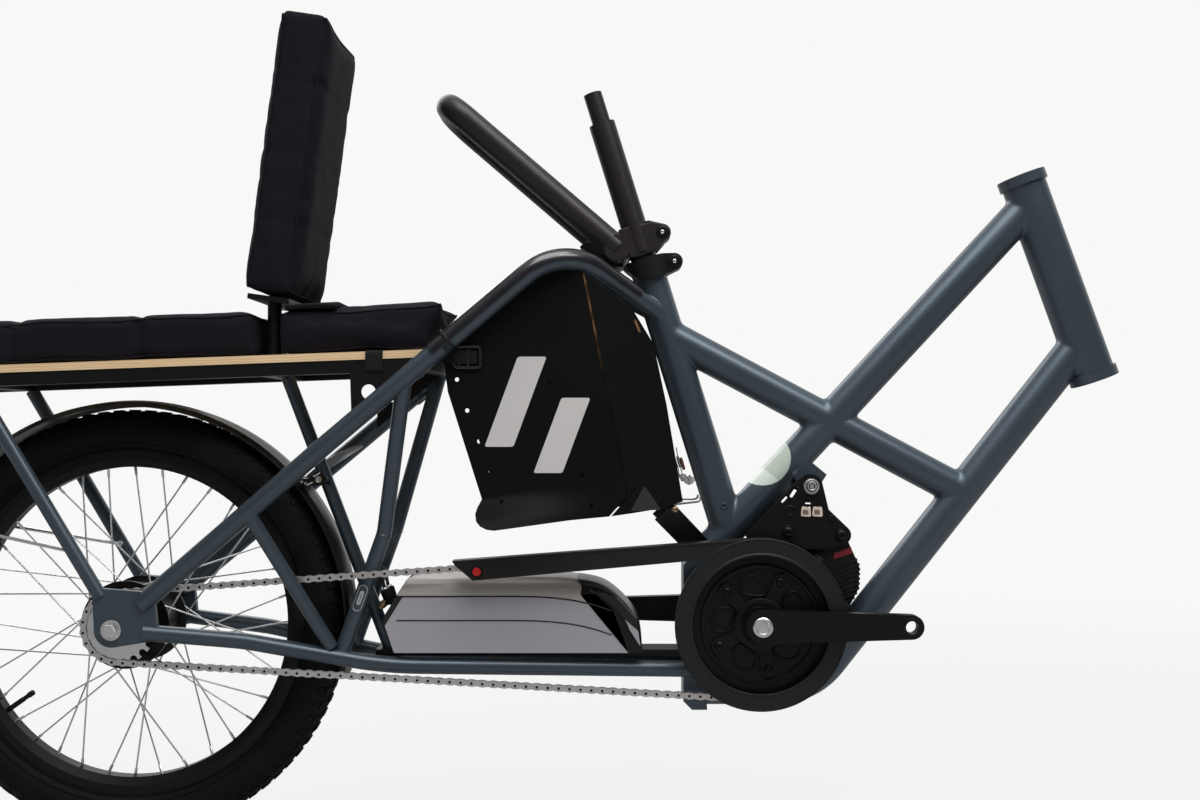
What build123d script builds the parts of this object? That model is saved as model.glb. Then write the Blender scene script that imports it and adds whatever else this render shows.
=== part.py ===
"""Rolling chassis of a longtail cargo bike: frame, mid-mounted motor, crankset, chain and guard,
leg guards, passenger deck with its pads, and the rear wheel.

Working datum: the bottom-bracket axis, +X forward, +Y to the rider's left, +Z up, millimetres.
The finished nodes are moved so that the origin is the lower mouth of the head tube.
"""
import os
from math import asin, atan2, cos, degrees, pi, radians, sin, sqrt, tan

from build123d import *

# ---------------------------------------------------------------- driving dimensions
SEAT_LEAN = 17.3            # seat tube's lean back from the vertical, degrees
SEAT_TUBE_R = 20.5
SEAT_BORE_R = 15.85
SEAT_TUBE_TOP = 450.0       # along the seat axis, from the bottom bracket
POST_R = 15.8
POST_LOW, POST_HIGH = 285.0, 660.0
POST_DROP = 120.0
NECK_R, NECK_LENGTH = 11.1, 38.0

MAIN_R, MAIN_SLOPE = 20.5, 47.2          # long diagonal from the yoke to the head tube
MAIN_POINT = (-4.9, 135.5)
LOWER_R, LOWER_SLOPE = 21.0, 51.8        # down tube that runs on beneath the motor
LOWER_POINT = (126.4, -5.2)
LOWER_BOTTOM = -84.0
LOWER_BEND = 80.0
CROSS_R, CROSS_SLOPE = 20.0, -28.0       # stiffener from the seat tube to the down tube
CROSS_POINT = (-77.3, 324.4)

HEAD_R, HEAD_BORE_R = 26.0, 22.0
HEAD_LEAN = 20.0                          # steering axis' lean back, degrees
HEAD_LOW, HEAD_HIGH = (409.5, 285.2), 262.0
HEAD_RING = 12.0

CHAIN_PITCH, CHAIN_Y = 12.7, -54.0
RING_TEETH, COG_TEETH = 44, 20
AXLE_GUESS = (-748.0, -5.0)
TYRE_R, TYRE_SECTION = 253.0, 25.0
RIM_R = 203.0
GUARD_R = 100.0

RAIL_R = 11.0
RAIL_START = (-119.0, -12.0, 366.0)
RAIL_CORNER = (-229.0, -98.0, 434.8)
RAIL_KNEE = (-500.0, -95.5, 206.0)
RAIL_BEND = 70.0
CAP_LOW = 6.2               # the rail cap's edges, above the rail's middle
DROPOUT_Y = 72.0
DECK_SLOPE = 2.1
DECK_FRONT, DECK_REAR = -365.0, -1005.0
DECK_HALF = 84.0
PLY = 9.0

RACK_Y, RACK_T = 75.0, 15.0
PAD_T = 56.0
GAP_X = -566.0
BACK_FRONT, BACK_LEAN = (-543.5, 370.0), 7.8
BACK_T, BACK_WIDTH, BACK_HEIGHT = 56.0, 176.0, 330.0

PANEL_T, PANEL_Y, PANEL_TOP = 2.8, -82.6, 430.0
GUARD_SECTIONS = (          # place along the bike, then the flare's start, its low edge and its reach outward
    (-372.0, 147.0, 107.0, 36.0), (-330.0, 147.0, 107.0, 36.0), (-290.0, 154.0, 109.0, 31.0),
    (-250.0, 160.0, 113.0, 21.0), (-210.0, 160.0, 117.0, 9.0), (-172.0, 156.0, 120.0, 1.5),
    (-140.0, 154.0, 120.0, 0.05))
GUARD_HOLES = (             # the leg guard's two rows of small holes
    (-349.6, 282.9), (-337.9, 247.5), (-324.2, 212.3), (-311.2, 178.1), (-298.5, 143.5),
    (-243.9, 280.5), (-231.0, 245.0), (-219.5, 209.1), (-206.8, 173.9), (-196.0, 138.8))
CREASE_TOP, CREASE_LOW = (-205.0, -82.6, 405.0), (-150.0, -82.6, 128.0)
HOOP_Y, HOOP_R, HOOP_LENGTH, HOOP_RISE = 45.0, 15.0, 265.0, 40.6
HOOP_HINGE = (-166.0, 437.5)

AXLE_R, RUNNING_FIT = 6.0, 0.05          # the wheel's bores are that much larger than the axle
STAY_R = 9.5
STRUT_R = 9.0
FRONT_STRUT_TOP = {-1: (-407.5, -96.0, 285.0), 1: (-393.0, -96.2, 297.2)}
SPINDLE_R = 12.0
SPIDER_ARMS, SPIDER_R, SPIDER_TURN = 5, 54.0, 64.0
CRANK_LENGTH = 170.0
CRANK_IN, CRANK_OUT = 74.0, 88.0         # the crank arms' faces, from the bike's middle
PEDAL_R = 7.1
ROLLER_R, TOOTH_TIP = 3.0, 3.2           # tooth tips stand that far outside the pitch circle
MOTOR_BOLTS = ((60.3, 159.3), (33.8, 105.6), (95.9, 102.1))
SPOKES = 36
MUDGUARD_SPAN, MUDGUARD_DROP, MUDGUARD_STAY = 206.0, 12.0, 28.0

PARTS = {}


# ---------------------------------------------------------------- helpers
def keep(name, shape):
    """Stores a node's shape under its name."""
    PARTS[name] = shape


def keep_pair(name, right):
    """Stores a right-hand piece and its mirror image as two solids of one node."""
    PARTS[name] = Compound(children=[right, mirror_y(right)])


def mirror_y(shape):
    """The same shape on the bike's other side."""
    return mirror(shape, about=Plane.XZ)


def seat_point(p, y, s):
    """A point from its distance ahead of the seat axis, its side offset and its height along the axis."""
    a = radians(SEAT_LEAN)
    return Vector(p * cos(a) - s * sin(a), y, p * sin(a) + s * cos(a))


def seat_plane(s):
    """The plane across the seat axis at height s: local x is forward and local y is to the left."""
    a = radians(SEAT_LEAN)
    return Plane(origin=seat_point(0, 0, s), x_dir=(cos(a), 0, sin(a)), z_dir=(-sin(a), 0, cos(a)))


def rod(a, b, r):
    """A round bar from point a to point b."""
    a, b = Vector(*a), Vector(*b)
    plane = Plane(origin=a, z_dir=(b - a).normalized())
    return plane * Cylinder(r, (b - a).length, align=(Align.CENTER, Align.CENTER, Align.MIN))


def bent(points, radii, r):
    """A round tube along straight runs joined by tangent arcs."""
    path = FilletPolyline(*points, radius=radii)
    start = Plane(origin=path @ 0, z_dir=path % 0)
    return sweep(start * Circle(r), path=path)


def side_slab(outline, y_low, y_high):
    """Extrudes a face drawn in X and Z between two values of Y."""
    face = Plane.XZ * outline
    return Pos(0, y_high, 0) * extrude(face, y_high - y_low)


def line_at(point, slope, x):
    """Height at x of the line through a point at that slope in degrees."""
    return point[1] + (x - point[0]) * tan(radians(slope))


def deck_z(x):
    """Height of the plywood deck's underside."""
    return 303.4 + (x + 525.0) * tan(radians(DECK_SLOPE))


# ---------------------------------------------------------------- chain geometry
def pitch_radius(teeth):
    """Radius of the circle on which a sprocket's chain pins lie."""
    return CHAIN_PITCH / 2 / sin(pi / teeth)


def chain_count(centre):
    """Number of pitches in the loop round ring and cog at this centre distance."""
    ring, cog = pitch_radius(RING_TEETH), pitch_radius(COG_TEETH)
    a = asin((ring - cog) / centre)
    run = sqrt(centre**2 - (ring - cog) ** 2)
    return 2 * run / CHAIN_PITCH + (pi + 2 * a) * RING_TEETH / 2 / pi + (pi - 2 * a) * COG_TEETH / 2 / pi


def close_chain():
    """The centre distance nearest the guess at which the chain closes on an even number of links."""
    centre = sqrt(AXLE_GUESS[0] ** 2 + AXLE_GUESS[1] ** 2)
    links = 2 * round(chain_count(centre) / 2)
    low, high = centre - 20, centre + 20
    for _ in range(60):
        middle = (low + high) / 2
        low, high = (middle, high) if chain_count(middle) < links else (low, middle)
    return middle, links


CENTRES, LINKS = close_chain()
TILT = atan2(AXLE_GUESS[1], -AXLE_GUESS[0])     # how far the rear axle sits above the line of the cranks
AXLE = (-CENTRES * cos(TILT), CENTRES * sin(TILT))
HEAD_AXIS = Vector(-sin(radians(HEAD_LEAN)), 0, cos(radians(HEAD_LEAN)))
HEAD_ORIGIN = Vector(HEAD_LOW[0], 0, HEAD_LOW[1])


def chain_points():
    """The (x, z) centre of every chain pin, upper run first, and the lengths of a run and of the cog's arc."""
    ring, cog = pitch_radius(RING_TEETH), pitch_radius(COG_TEETH)
    a = asin((ring - cog) / CENTRES)
    run = sqrt(CENTRES**2 - (ring - cog) ** 2)
    back = Vector(AXLE[0], AXLE[1], 0) * (1 / CENTRES)
    up = Vector(back.Y, -back.X, 0)
    upper = back * sin(a) + up * cos(a)      # outward normal of the upper run
    lower = back * sin(a) - up * cos(a)
    axle = back * CENTRES
    marks = (upper * ring, axle + upper * cog, axle + lower * cog, lower * ring)
    n_run, n_cog = run / CHAIN_PITCH, (pi - 2 * a) * COG_TEETH / 2 / pi
    turn = 1 if upper.cross(lower).Z > 0 else -1
    points = []
    for k in range(LINKS):
        if k < n_run:
            v = marks[0] + (marks[1] - marks[0]) * (k / n_run)
        elif k < n_run + n_cog:
            v = axle + (upper * cog).rotate(Axis.Z, turn * degrees((k - n_run) * 2 * pi / COG_TEETH))
        elif k < 2 * n_run + n_cog:
            v = marks[2] + (marks[3] - marks[2]) * ((k - n_run - n_cog) / n_run)
        else:
            share = (k - 2 * n_run - n_cog) * 2 * pi / RING_TEETH
            v = (lower * ring).rotate(Axis.Z, turn * degrees(share))
        points.append((v.X, v.Y))
    return points, n_run, n_cog


PINS, N_RUN, N_COG = chain_points()


def toothed_disc(teeth, seat_pin, centre, inner_r):
    """A sprocket face whose roller seats line up with the pin that it carries."""
    r = pitch_radius(teeth)
    phase = degrees(atan2(seat_pin[1] - centre[1], seat_pin[0] - centre[0]))
    face = Circle(r + TOOTH_TIP) - Circle(inner_r)
    seat = Pos(r + 2.5, 0) * SlotCenterToCenter(5.0, 8.2)
    return face - [Rot(0, 0, phase + k * 360 / teeth) * seat for k in range(teeth)]


# ---------------------------------------------------------------- frame tubes
def biggest(shape):
    """The largest of a cut shape's solids."""
    return sorted(shape.solids(), key=lambda s: s.volume)[-1]


def front_triangle():
    """Main beam, seat tube, lower beam, the crossing stiffener and the head tube."""
    main_low, main_high = -76.0, 350.0
    main_full = rod((main_low, 0, line_at(MAIN_POINT, MAIN_SLOPE, main_low)),
                    (main_high, 0, line_at(MAIN_POINT, MAIN_SLOPE, main_high)), MAIN_R)
    seat_full = rod((0, 0, 0), seat_point(0, 0, SEAT_TUBE_TOP), SEAT_TUBE_R)
    top_x = 400.0
    corner_x = LOWER_POINT[0] + (LOWER_BOTTOM - LOWER_POINT[1]) / tan(radians(LOWER_SLOPE))
    path = [(top_x, 0, line_at(LOWER_POINT, LOWER_SLOPE, top_x)), (corner_x, 0, LOWER_BOTTOM),
            (-60, 0, LOWER_BOTTOM)]
    lower_full = bent(path, [LOWER_BEND], LOWER_R)

    head_full = rod(HEAD_ORIGIN, HEAD_ORIGIN + HEAD_AXIS * HEAD_HIGH, HEAD_R)
    for s in (0, HEAD_HIGH - HEAD_RING):
        head_full += rod(HEAD_ORIGIN + HEAD_AXIS * s, HEAD_ORIGIN + HEAD_AXIS * (s + HEAD_RING), HEAD_R + 3)
    bore = rod(HEAD_ORIGIN - HEAD_AXIS * 5, HEAD_ORIGIN + HEAD_AXIS * (HEAD_HIGH + 5), HEAD_BORE_R)
    keep("head_tube", head_full - bore)

    keep("main_beam", biggest(main_full - head_full))
    keep("lower_beam", biggest(lower_full - head_full))
    seat = biggest(seat_full - main_full)
    seat -= rod(seat_point(0, 0, POST_LOW - POST_DROP - 5), seat_point(0, 0, SEAT_TUBE_TOP + 5), SEAT_BORE_R)
    seat -= seat_plane(SEAT_TUBE_TOP) * Pos(-SEAT_TUBE_R, 0, -10) * Box(SEAT_TUBE_R * 2, 2.0, 40)
    keep("seat_tube", seat)

    cross = rod((-105.0, 0, line_at(CROSS_POINT, CROSS_SLOPE, -105.0)),
                (252.0, 0, line_at(CROSS_POINT, CROSS_SLOPE, 252.0)), CROSS_R)
    cross = cross - seat_full - main_full - lower_full
    pieces = sorted(cross.solids(), key=lambda s: s.volume)[-2:]
    keep("cross_beam", Compound(children=list(pieces)))
    return seat_full, main_full, lower_full


SEAT_FULL, MAIN_FULL, LOWER_FULL = front_triangle()


def yoke():
    """The welded block behind the motor that gathers the main beam, the lower beam and the chainstays."""
    outline = make_face(Polyline((-88, 66), (-64, 88), (-50, 72), (-62, 40), (-62, -62), (-60, -106), (-78, -106),
                                 (-88, -96), close=True))
    body = side_slab(outline, -30, 30)
    body = biggest(body - MAIN_FULL - LOWER_FULL)
    keep("bottom_yoke", body)
    return body


YOKE = yoke()


# ---------------------------------------------------------------- rear frame
def deck_plane(x):
    """The plane of the deck's underside, with local x forward along the deck."""
    a = radians(DECK_SLOPE)
    return Plane(origin=(x, 0, deck_z(x)), x_dir=(cos(a), 0, sin(a)), z_dir=(-sin(a), 0, cos(a)))


DECK_LENGTH = (DECK_FRONT - DECK_REAR) / cos(radians(DECK_SLOPE))
DECK_PLANE = deck_plane((DECK_FRONT + DECK_REAR) / 2)


def deck_rack():
    """The black steel rack: two side bars and four cross bars under the plywood."""
    middle = DECK_LENGTH / 2
    bars = [Pos(-4, side * (DECK_HALF - 9), -RACK_T / 2) * Box(DECK_LENGTH - 20, 16, RACK_T) for side in (-1, 1)]
    for x in (middle - 22, middle - 205, -middle + 95, -middle + 14):
        bars.append(Pos(x, 0, -RACK_T / 2) * Box(16, DECK_HALF * 2 - 18, RACK_T))
    rack = DECK_PLANE * (bars[0] + bars[1:])
    keep("deck_rack", rack)
    return rack


def rear_frame():
    """Side rails, chainstays, dropouts and the struts between them."""
    x, z = AXLE
    rail_path = [RAIL_START, RAIL_CORNER, RAIL_KNEE, (x + 34, -DROPOUT_Y, z + 30)]
    stay_path = [(-80, -27, -58), (-440, -38, -52), (-600, -58, -20), (x + 36, -DROPOUT_Y, z - 3)]
    plate = Pos(x, z) * Circle(20)
    for dx, dz, r in ((40, 35, 9), (44, -4, 9), (-14, 40, 8)):
        plate += Pos(x + dx, z + dz) * Circle(r)
    slab = side_slab(make_hull(plate.edges()), -DROPOUT_Y - 4, -DROPOUT_Y + 4)
    slab -= rod((x, -90, z), (x, -50, z), AXLE_R)
    rail = biggest(bent(rail_path, [RAIL_BEND, 400], RAIL_R) - SEAT_FULL - slab)
    stay = biggest(bent(stay_path, [400, 260], STAY_R) - YOKE - slab)
    rear = rod((x - 14, -DROPOUT_Y, z + 38), (-905.0, -RACK_Y, deck_z(-905.0) - RACK_T), 8.0)
    rack = deck_rack()
    rear = biggest(rear - slab - rack)
    pieces = {"side_rail": rail, "chainstay": stay, "rear_stay": rear, "dropout": slab}
    for name, shape in pieces.items():
        keep(name + "_right", shape)
        keep(name + "_left", mirror_y(shape))
    for side, word in ((-1, "right"), (1, "left")):
        front_strut = bent([FRONT_STRUT_TOP[side], (-440, -40.5, 104), (-491, -39.5, -38)], [30], STRUT_R)
        front_strut = biggest(front_strut - rail - stay)
        rear_strut = rod((-587, -89, 131), (-501, -46.5, -29), 8.0) - rail - stay
        rear_strut = biggest(biggest(rear_strut) - front_strut)
        keep("front_strut_" + word, front_strut if side < 0 else mirror_y(front_strut))
        keep("rear_strut_" + word, rear_strut if side < 0 else mirror_y(rear_strut))
    bridge = rod((-438, -40, -51), (-438, 40, -51), 8.0) - stay - mirror_y(stay)
    bridge = biggest(bridge)
    keep("stay_bridge", bridge)
    strut = rod((-435, 0, -51), (-566, 0, deck_z(-566) - RACK_T / 2), 8.0)
    keep("center_strut", biggest(strut - bridge - rack))
    return rail_path


RAIL_PATH = rear_frame()


def rail_caps():
    """The glossy strip clipped over the top of each side rail, round its bend."""
    corner = Vector(*RAIL_CORNER)
    back = (Vector(*RAIL_PATH[2]) - corner).normalized()
    front = (Vector(*RAIL_START) - corner).normalized()
    path = FilletPolyline(corner + back * 190, corner, corner + front * 118, radius=[RAIL_BEND])
    outward = (back + front).normalized() * -1
    start = Plane(origin=path @ 0, x_dir=outward - (path % 0) * outward.dot(path % 0), z_dir=path % 0)
    sector = Circle(RAIL_R + 2.6) - Circle(RAIL_R) - Pos(CAP_LOW - RAIL_R * 2, 0) * Rectangle(RAIL_R * 4, RAIL_R * 4)
    cap = sweep(start * sector, path=path)
    keep("rail_cap_right", cap)
    keep("rail_cap_left", mirror_y(cap))


rail_caps()


# ---------------------------------------------------------------- passenger deck
def deck():
    """The plywood board and the two punched plates that hang from its rack."""
    board = extrude(RectangleRounded(DECK_LENGTH, DECK_HALF * 2, 14), PLY)
    keep("deck_board", DECK_PLANE * board)

    outline = make_face(Polyline((-472, deck_z(-472) - RACK_T), (-392, deck_z(-392) - RACK_T), (-402, 285),
                                 (-470, 228), close=True))
    plate = side_slab(outline, -DECK_HALF + 1, -DECK_HALF + 5)
    plate -= rod((-451, -100, 269), (-451, -50, 269), 8.5)
    plate = biggest(plate - PARTS["side_rail_right"] - PARTS["deck_rack"] - PARTS["front_strut_right"])
    keep_pair("deck_gussets", plate)


deck()


def pads():
    """The two seat cushions, the backrest between them and its base."""
    def pad(x_low, x_high, width):
        plane = deck_plane((x_low + x_high) / 2)
        block = Box(x_high - x_low, width, PAD_T, align=(Align.CENTER, Align.CENTER, Align.MIN))
        block = fillet(block.edges().filter_by(Axis.Z), 14)
        block = fillet(block.faces().sort_by(Axis.Z)[-1].edges(), 9)
        return plane * Pos(0, 0, PLY) * block
    keep("front_cushion", pad(GAP_X + 10, DECK_FRONT + 4, DECK_HALF * 2 - 4))
    keep("rear_cushion", pad(DECK_REAR + 6, GAP_X - 10, DECK_HALF * 2 - 4))
    low = Plane(origin=(BACK_FRONT[0], 0, BACK_FRONT[1]), x_dir=(cos(radians(BACK_LEAN)), 0, -sin(radians(BACK_LEAN))),
                z_dir=(sin(radians(BACK_LEAN)), 0, cos(radians(BACK_LEAN))))
    block = Box(BACK_T, BACK_WIDTH, BACK_HEIGHT, align=(Align.MAX, Align.CENTER, Align.MIN))
    block = fillet(block.edges(), 12)
    keep("backrest_pad", low * Pos(0, 0, 6) * block)
    base = low * Box(BACK_T - 8, BACK_WIDTH - 20, 6, align=(Align.MAX, Align.CENTER, Align.MIN))
    above = low * Pos(-BACK_T / 2, 0, 6) * Box(200, 300, 40, align=(Align.CENTER, Align.CENTER, Align.MIN))
    for side in (-1, 1):
        post = rod((GAP_X, side * 52, deck_z(GAP_X) + PLY), (GAP_X, side * 52, BACK_FRONT[1] + 6), 8)
        base = base + (post - above)
    keep("backrest_base", base - PARTS["deck_board"])


pads()


# ---------------------------------------------------------------- leg guards
def guard_outline():
    """The leg guard seen from the side, with the footrest lip's rounded rear end."""
    return make_face(Polyline((-366, 318), (-360, 269), (-321, 146), (-325.5, 137), (-327, 130), (-325, 122.5),
                              (-320, 117), (-313, 113.7), (-304, 112.5), (-222, 122.5), (-174, 126.5), (-120, 134),
                              (-90, 142), (-109, 255), (-124, 325), (-148, 364), (-190, 395), (-207, 407), (-229, 416),
                              (-275, 394), close=True))


def guard_section(x, start, low, reach):
    """The leg guard cut across at x: a flat sheet that flares outward below `start` into a lip."""
    count = 8
    centre = []
    for k in range(count + 1):
        share = k / count
        centre.append(Vector(PANEL_Y - reach * (3 * share**2 - 2 * share**3), start + (low - start) * share))
    sides = []
    for offset in (-PANEL_T / 2, PANEL_T / 2):
        points = []
        for k, point in enumerate(centre):
            run = centre[min(k + 1, count)] - centre[max(k - 1, 0)]
            if k in (0, count):
                run = Vector(0, -1)
            run = run.normalized()
            points.append((point.X - run.Y * offset, point.Y + run.X * offset))
        sides.append(points)
    near, far = sides
    wire = Wire([Line((near[0][0], PANEL_TOP), near[0]), Spline(*near, tangents=[(0, -1), (0, -1)]),
                 Line(near[-1], far[-1]), Spline(*reversed(far), tangents=[(0, 1), (0, 1)]),
                 Line(far[0], (far[0][0], PANEL_TOP)), Line((far[0][0], PANEL_TOP), (near[0][0], PANEL_TOP))])
    return Plane(origin=(x, 0, 0), x_dir=(0, 1, 0), z_dir=(1, 0, 0)) * Face(wire)


def side_panels():
    """Each leg guard is one moulded sheet, folded inward ahead of its crease."""
    top, low = Vector(*CREASE_TOP), Vector(*CREASE_LOW)
    edge = Vector(-100, -52, 250)
    along = (top - low).normalized()
    across = (edge - low - along * (edge - low).dot(along)).normalized()
    outline = extrude(Plane.XZ * guard_outline(), 200, both=True)
    middle = (top + low) * 0.5
    front_plane = Plane(origin=middle, x_dir=across, z_dir=across.cross(along))
    rear_plane = Plane(origin=middle, x_dir=Vector(along.Z, 0, -along.X), z_dir=Vector(0, -1, 0))
    front = front_plane * Box(160, 500, PANEL_T, align=(Align.MIN, Align.CENTER, Align.CENTER))
    rear = loft([guard_section(*values) for values in GUARD_SECTIONS])
    rear &= rear_plane * Box(400, 900, 300, align=(Align.MAX, Align.CENTER, Align.CENTER))
    panel = biggest(((front + rear) & outline) - bent(RAIL_PATH, [RAIL_BEND, 400], RAIL_R + 0.3))
    for x, z in GUARD_HOLES:
        panel -= rod((x, -150, z), (x, -50, z), 2.5)
    slit = Pos(-160, -100, 142.5) * Rot(0, -48, 0) * Box(46, 60, 1.6)
    panel = biggest(panel - slit)
    keep("side_panel_right", panel)
    keep("side_panel_left", mirror_y(panel))


side_panels()


def panel_stays():
    """The flat bars that hold the leg guards' lower front corners off the yoke."""
    low, high = Vector(-68, -22, 84), Vector(-112, -54, 130)
    run = high - low
    across = Vector(run.Z, 0, -run.X).normalized()
    plane = Plane(origin=low, x_dir=run.normalized(), z_dir=across.cross(run).normalized() * -1)
    bar = plane * Box(run.length, 28, 4, align=(Align.MIN, Align.CENTER, Align.CENTER))
    bar = biggest(bar - MAIN_FULL - YOKE - SEAT_FULL - PARTS["side_panel_right"])
    keep_pair("panel_stays", bar)


panel_stays()


# ---------------------------------------------------------------- seat post, clamps and hoop
def seat_clamp_body(profile, bore, wall, bolt):
    """A split collar: its side profile, as circles of (ahead of the seat axis, along it, radius), and its bolt's place."""
    a = radians(SEAT_LEAN)
    side = Plane(origin=(0, 0, 0), x_dir=(cos(a), 0, sin(a)), z_dir=(0, -1, 0))
    edges = ShapeList()
    for p, s, r in profile:
        edges += (Pos(p, s) * Circle(r)).edges()
    body = extrude(side * make_hull(edges), 40, both=True)
    plan = Circle(bore + wall) + Pos(30, 0) * Rectangle(60, 26)
    body &= seat_plane(bolt[1] - 100) * extrude(plan, 200)
    body -= rod(seat_point(0, 0, bolt[1] - 100), seat_point(0, 0, bolt[1] + 100), bore)
    body -= seat_plane(bolt[1]) * Pos(bore + 20, 0, 0) * Box(44, 2.0, 80)
    body -= rod(seat_point(bolt[0], -30, bolt[1]), seat_point(bolt[0], 30, bolt[1]), 3.0)
    return biggest(body)


def seat_group():
    """Seat post, the collar that pinches the seat tube, the one above it and the hoop that it carries."""
    post = rod(seat_point(0, 0, POST_LOW), seat_point(0, 0, POST_HIGH - NECK_LENGTH), POST_R)
    post += rod(seat_point(0, 0, POST_HIGH - NECK_LENGTH), seat_point(0, 0, POST_HIGH), NECK_R)
    keep("seat_post", post)

    top = SEAT_TUBE_TOP
    lower = ((-25, top - 3.5, 2.5), (-18, top - 13, 2), (-5, top - 24, 2), (20, top - 22, 3), (33.5, top - 13, 10),
             (-20, top - 2, 2), (24, top - 2, 2))
    keep("seat_clamp", seat_clamp_body(lower, SEAT_TUBE_R, 7.5, (33.5, top - 13)))
    upper = ((-17, top + 10.5, 2), (-17, top + 41, 2), (17.5, top + 41, 2), (17.5, top + 11, 2),
             (29.7, top + 24.3, 10.5))
    bar = seat_clamp_body(upper, SEAT_BORE_R, 4.5, (29.7, top + 24.3))
    x, z = HOOP_HINGE
    boss = rod((x, -HOOP_Y + 15, z), (x, HOOP_Y - 15, z), 14)
    web = Pos(-150, 0, 447) * Box(32, 30, 22)
    bar = bar + boss + (web - rod(seat_point(0, 0, 380), seat_point(0, 0, 520), SEAT_BORE_R + 3) - SEAT_FULL)
    bar -= rod(seat_point(0, 0, 400), seat_point(0, 0, 540), SEAT_BORE_R)
    bar = biggest(bar)
    keep("bar_clamp", bar)
    rise = radians(HOOP_RISE)
    far = (x - HOOP_LENGTH * cos(rise), z + HOOP_LENGTH * sin(rise))
    hoop = bent([(x, -HOOP_Y, z), (far[0], -HOOP_Y, far[1]), (far[0], HOOP_Y, far[1]), (x, HOOP_Y, z)], [32, 32], HOOP_R)
    for side in (-1, 1):
        hoop += rod((x, side * (HOOP_Y - 14), z), (x, side * (HOOP_Y + 13), z), HOOP_R)
    keep("grab_hoop", biggest(hoop - bar))


seat_group()


# ---------------------------------------------------------------- motor and its plates
def motor_outline(inset):
    """The motor housing seen from the side, drawn in by `inset`."""
    corners = Circle(50 - inset)
    for x, z, r in ((20, 86, 12), (92, 88, 15), (105, 62, 14), (104.5, 42, 14), (92, 18, 14), (80, 2, 12)):
        corners += Pos(x, z) * Circle(r - inset)
    return make_hull(corners.edges())


def motor_plate(y, windows=()):
    """One of the two black plates that hang the motor from the main beam's tab, with further round-ended windows."""
    outer = make_hull((Pos(60.3, 159.3) * Circle(14) + Pos(50, 161) * Circle(7) + Pos(-8, 101) * Circle(7)
                       + Pos(30, 96) * Circle(14)).edges())
    outer += make_hull((Pos(60.3, 159.3) * Circle(14) + Pos(74, 128) * Circle(8) + Pos(30, 98) * Circle(14)).edges())
    outer += make_hull((Pos(74, 128) * Circle(8) + Pos(96, 102) * Circle(11.5) + Pos(30, 94) * Circle(12)).edges())
    outer -= make_face(Polyline((53.0, 138.3), (57.5, 146.5), (63.4, 137.9), close=True))
    for x in (56.0, 69.0):
        outer -= Pos(x, 130.4) * RectangleRounded(10.4, 9.6, 2)
    outer -= Pos(41, 152.4) * Rot(0, 0, 57) * SlotOverall(15, 4.6)
    outer -= Pos(29.6, 143.6) * Rot(0, 0, 46) * SlotOverall(9.5, 3.4)
    for ends in windows:
        outer -= make_hull(sum(((Pos(x, z) * Circle(r)).edges() for x, z, r in ends), ShapeList()))
    slab = side_slab(outer, y - 4, y + 4)
    for x, z in MOTOR_BOLTS:
        slab -= rod((x, y - 20, z), (x, y + 20, z), 5.05)
    return slab


def motor():
    """The motor, its two hanger plates, the tab on the main beam that they bolt to, and that bolt."""
    core = side_slab(motor_outline(0), -36, 40) + side_slab(motor_outline(6), -39, 46)
    core -= rod((0, -60, 0), (0, 60, 0), SPINDLE_R + 0.6)
    core = biggest(core - MAIN_FULL - LOWER_FULL - YOKE)
    keep("motor", core)
    keep("motor_plate_right", biggest(motor_plate(-43.0) - core))
    far = motor_plate(-50.2, [((42, 137, 7), (53, 146, 5.5))])
    keep("motor_plate_left", mirror_y(biggest(far - mirror_y(core))))
    x, z = MOTOR_BOLTS[0]
    tab = make_face(Polyline((44, 170), (62.7, 189.3), (83.7, 172.0), (70, 150), (56, 150), close=True))
    tab = side_slab(tab, -16, 16)
    keep("motor_tab", biggest(tab - MAIN_FULL - rod((x, -60, z), (x, 60, z), 5.05)))
    bolt = rod((x, -52, z), (x, 59, z), 5.0) + rod((x, -54, z), (x, -47, z), 9.0)
    keep("motor_bolt", bolt + rod((x, 54.3, z), (x, 61, z), 9.0))


motor()


# ---------------------------------------------------------------- crankset
def toothed(teeth, seat_pin, centre, inner_r, y, thickness):
    """A sprocket plate of that thickness, centred on y."""
    face = toothed_disc(teeth, seat_pin, centre, inner_r)
    return side_slab(Pos(*centre) * face, y - thickness / 2, y + thickness / 2)


def crankset():
    """Chainring with its spider, spindle and crank arms."""
    ring = toothed(RING_TEETH, PINS[-2], (0, 0), SPINDLE_R, CHAIN_Y, 2.2)
    spider = Circle(24)
    for k in range(SPIDER_ARMS):
        turn = Rot(0, 0, SPIDER_TURN + k * 360 / SPIDER_ARMS)
        spider += turn * Pos(SPIDER_R / 2, 0) * Rectangle(SPIDER_R, 15) + turn * Pos(SPIDER_R, 0) * Circle(9)
    spider = side_slab(spider, CHAIN_Y - 5.6, CHAIN_Y - 1.1)
    keep("chainring", biggest(ring + spider - rod((0, -80, 0), (0, 80, 0), SPINDLE_R)))
    keep("spindle", rod((0, -74, 0), (0, 74, 0), SPINDLE_R))

    face = make_hull((Circle(19) + Pos(CRANK_LENGTH, 0) * Circle(14)).edges())
    arm = side_slab(face, -CRANK_OUT, -CRANK_IN) - rod((0, -120, 0), (0, 120, 0), SPINDLE_R)
    arm -= rod((CRANK_LENGTH, -120, 0), (CRANK_LENGTH, 120, 0), PEDAL_R)
    keep("crank_arm_right", arm)
    keep("crank_arm_left", mirror_y(arm).rotate(Axis.Y, 180))


crankset()


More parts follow.
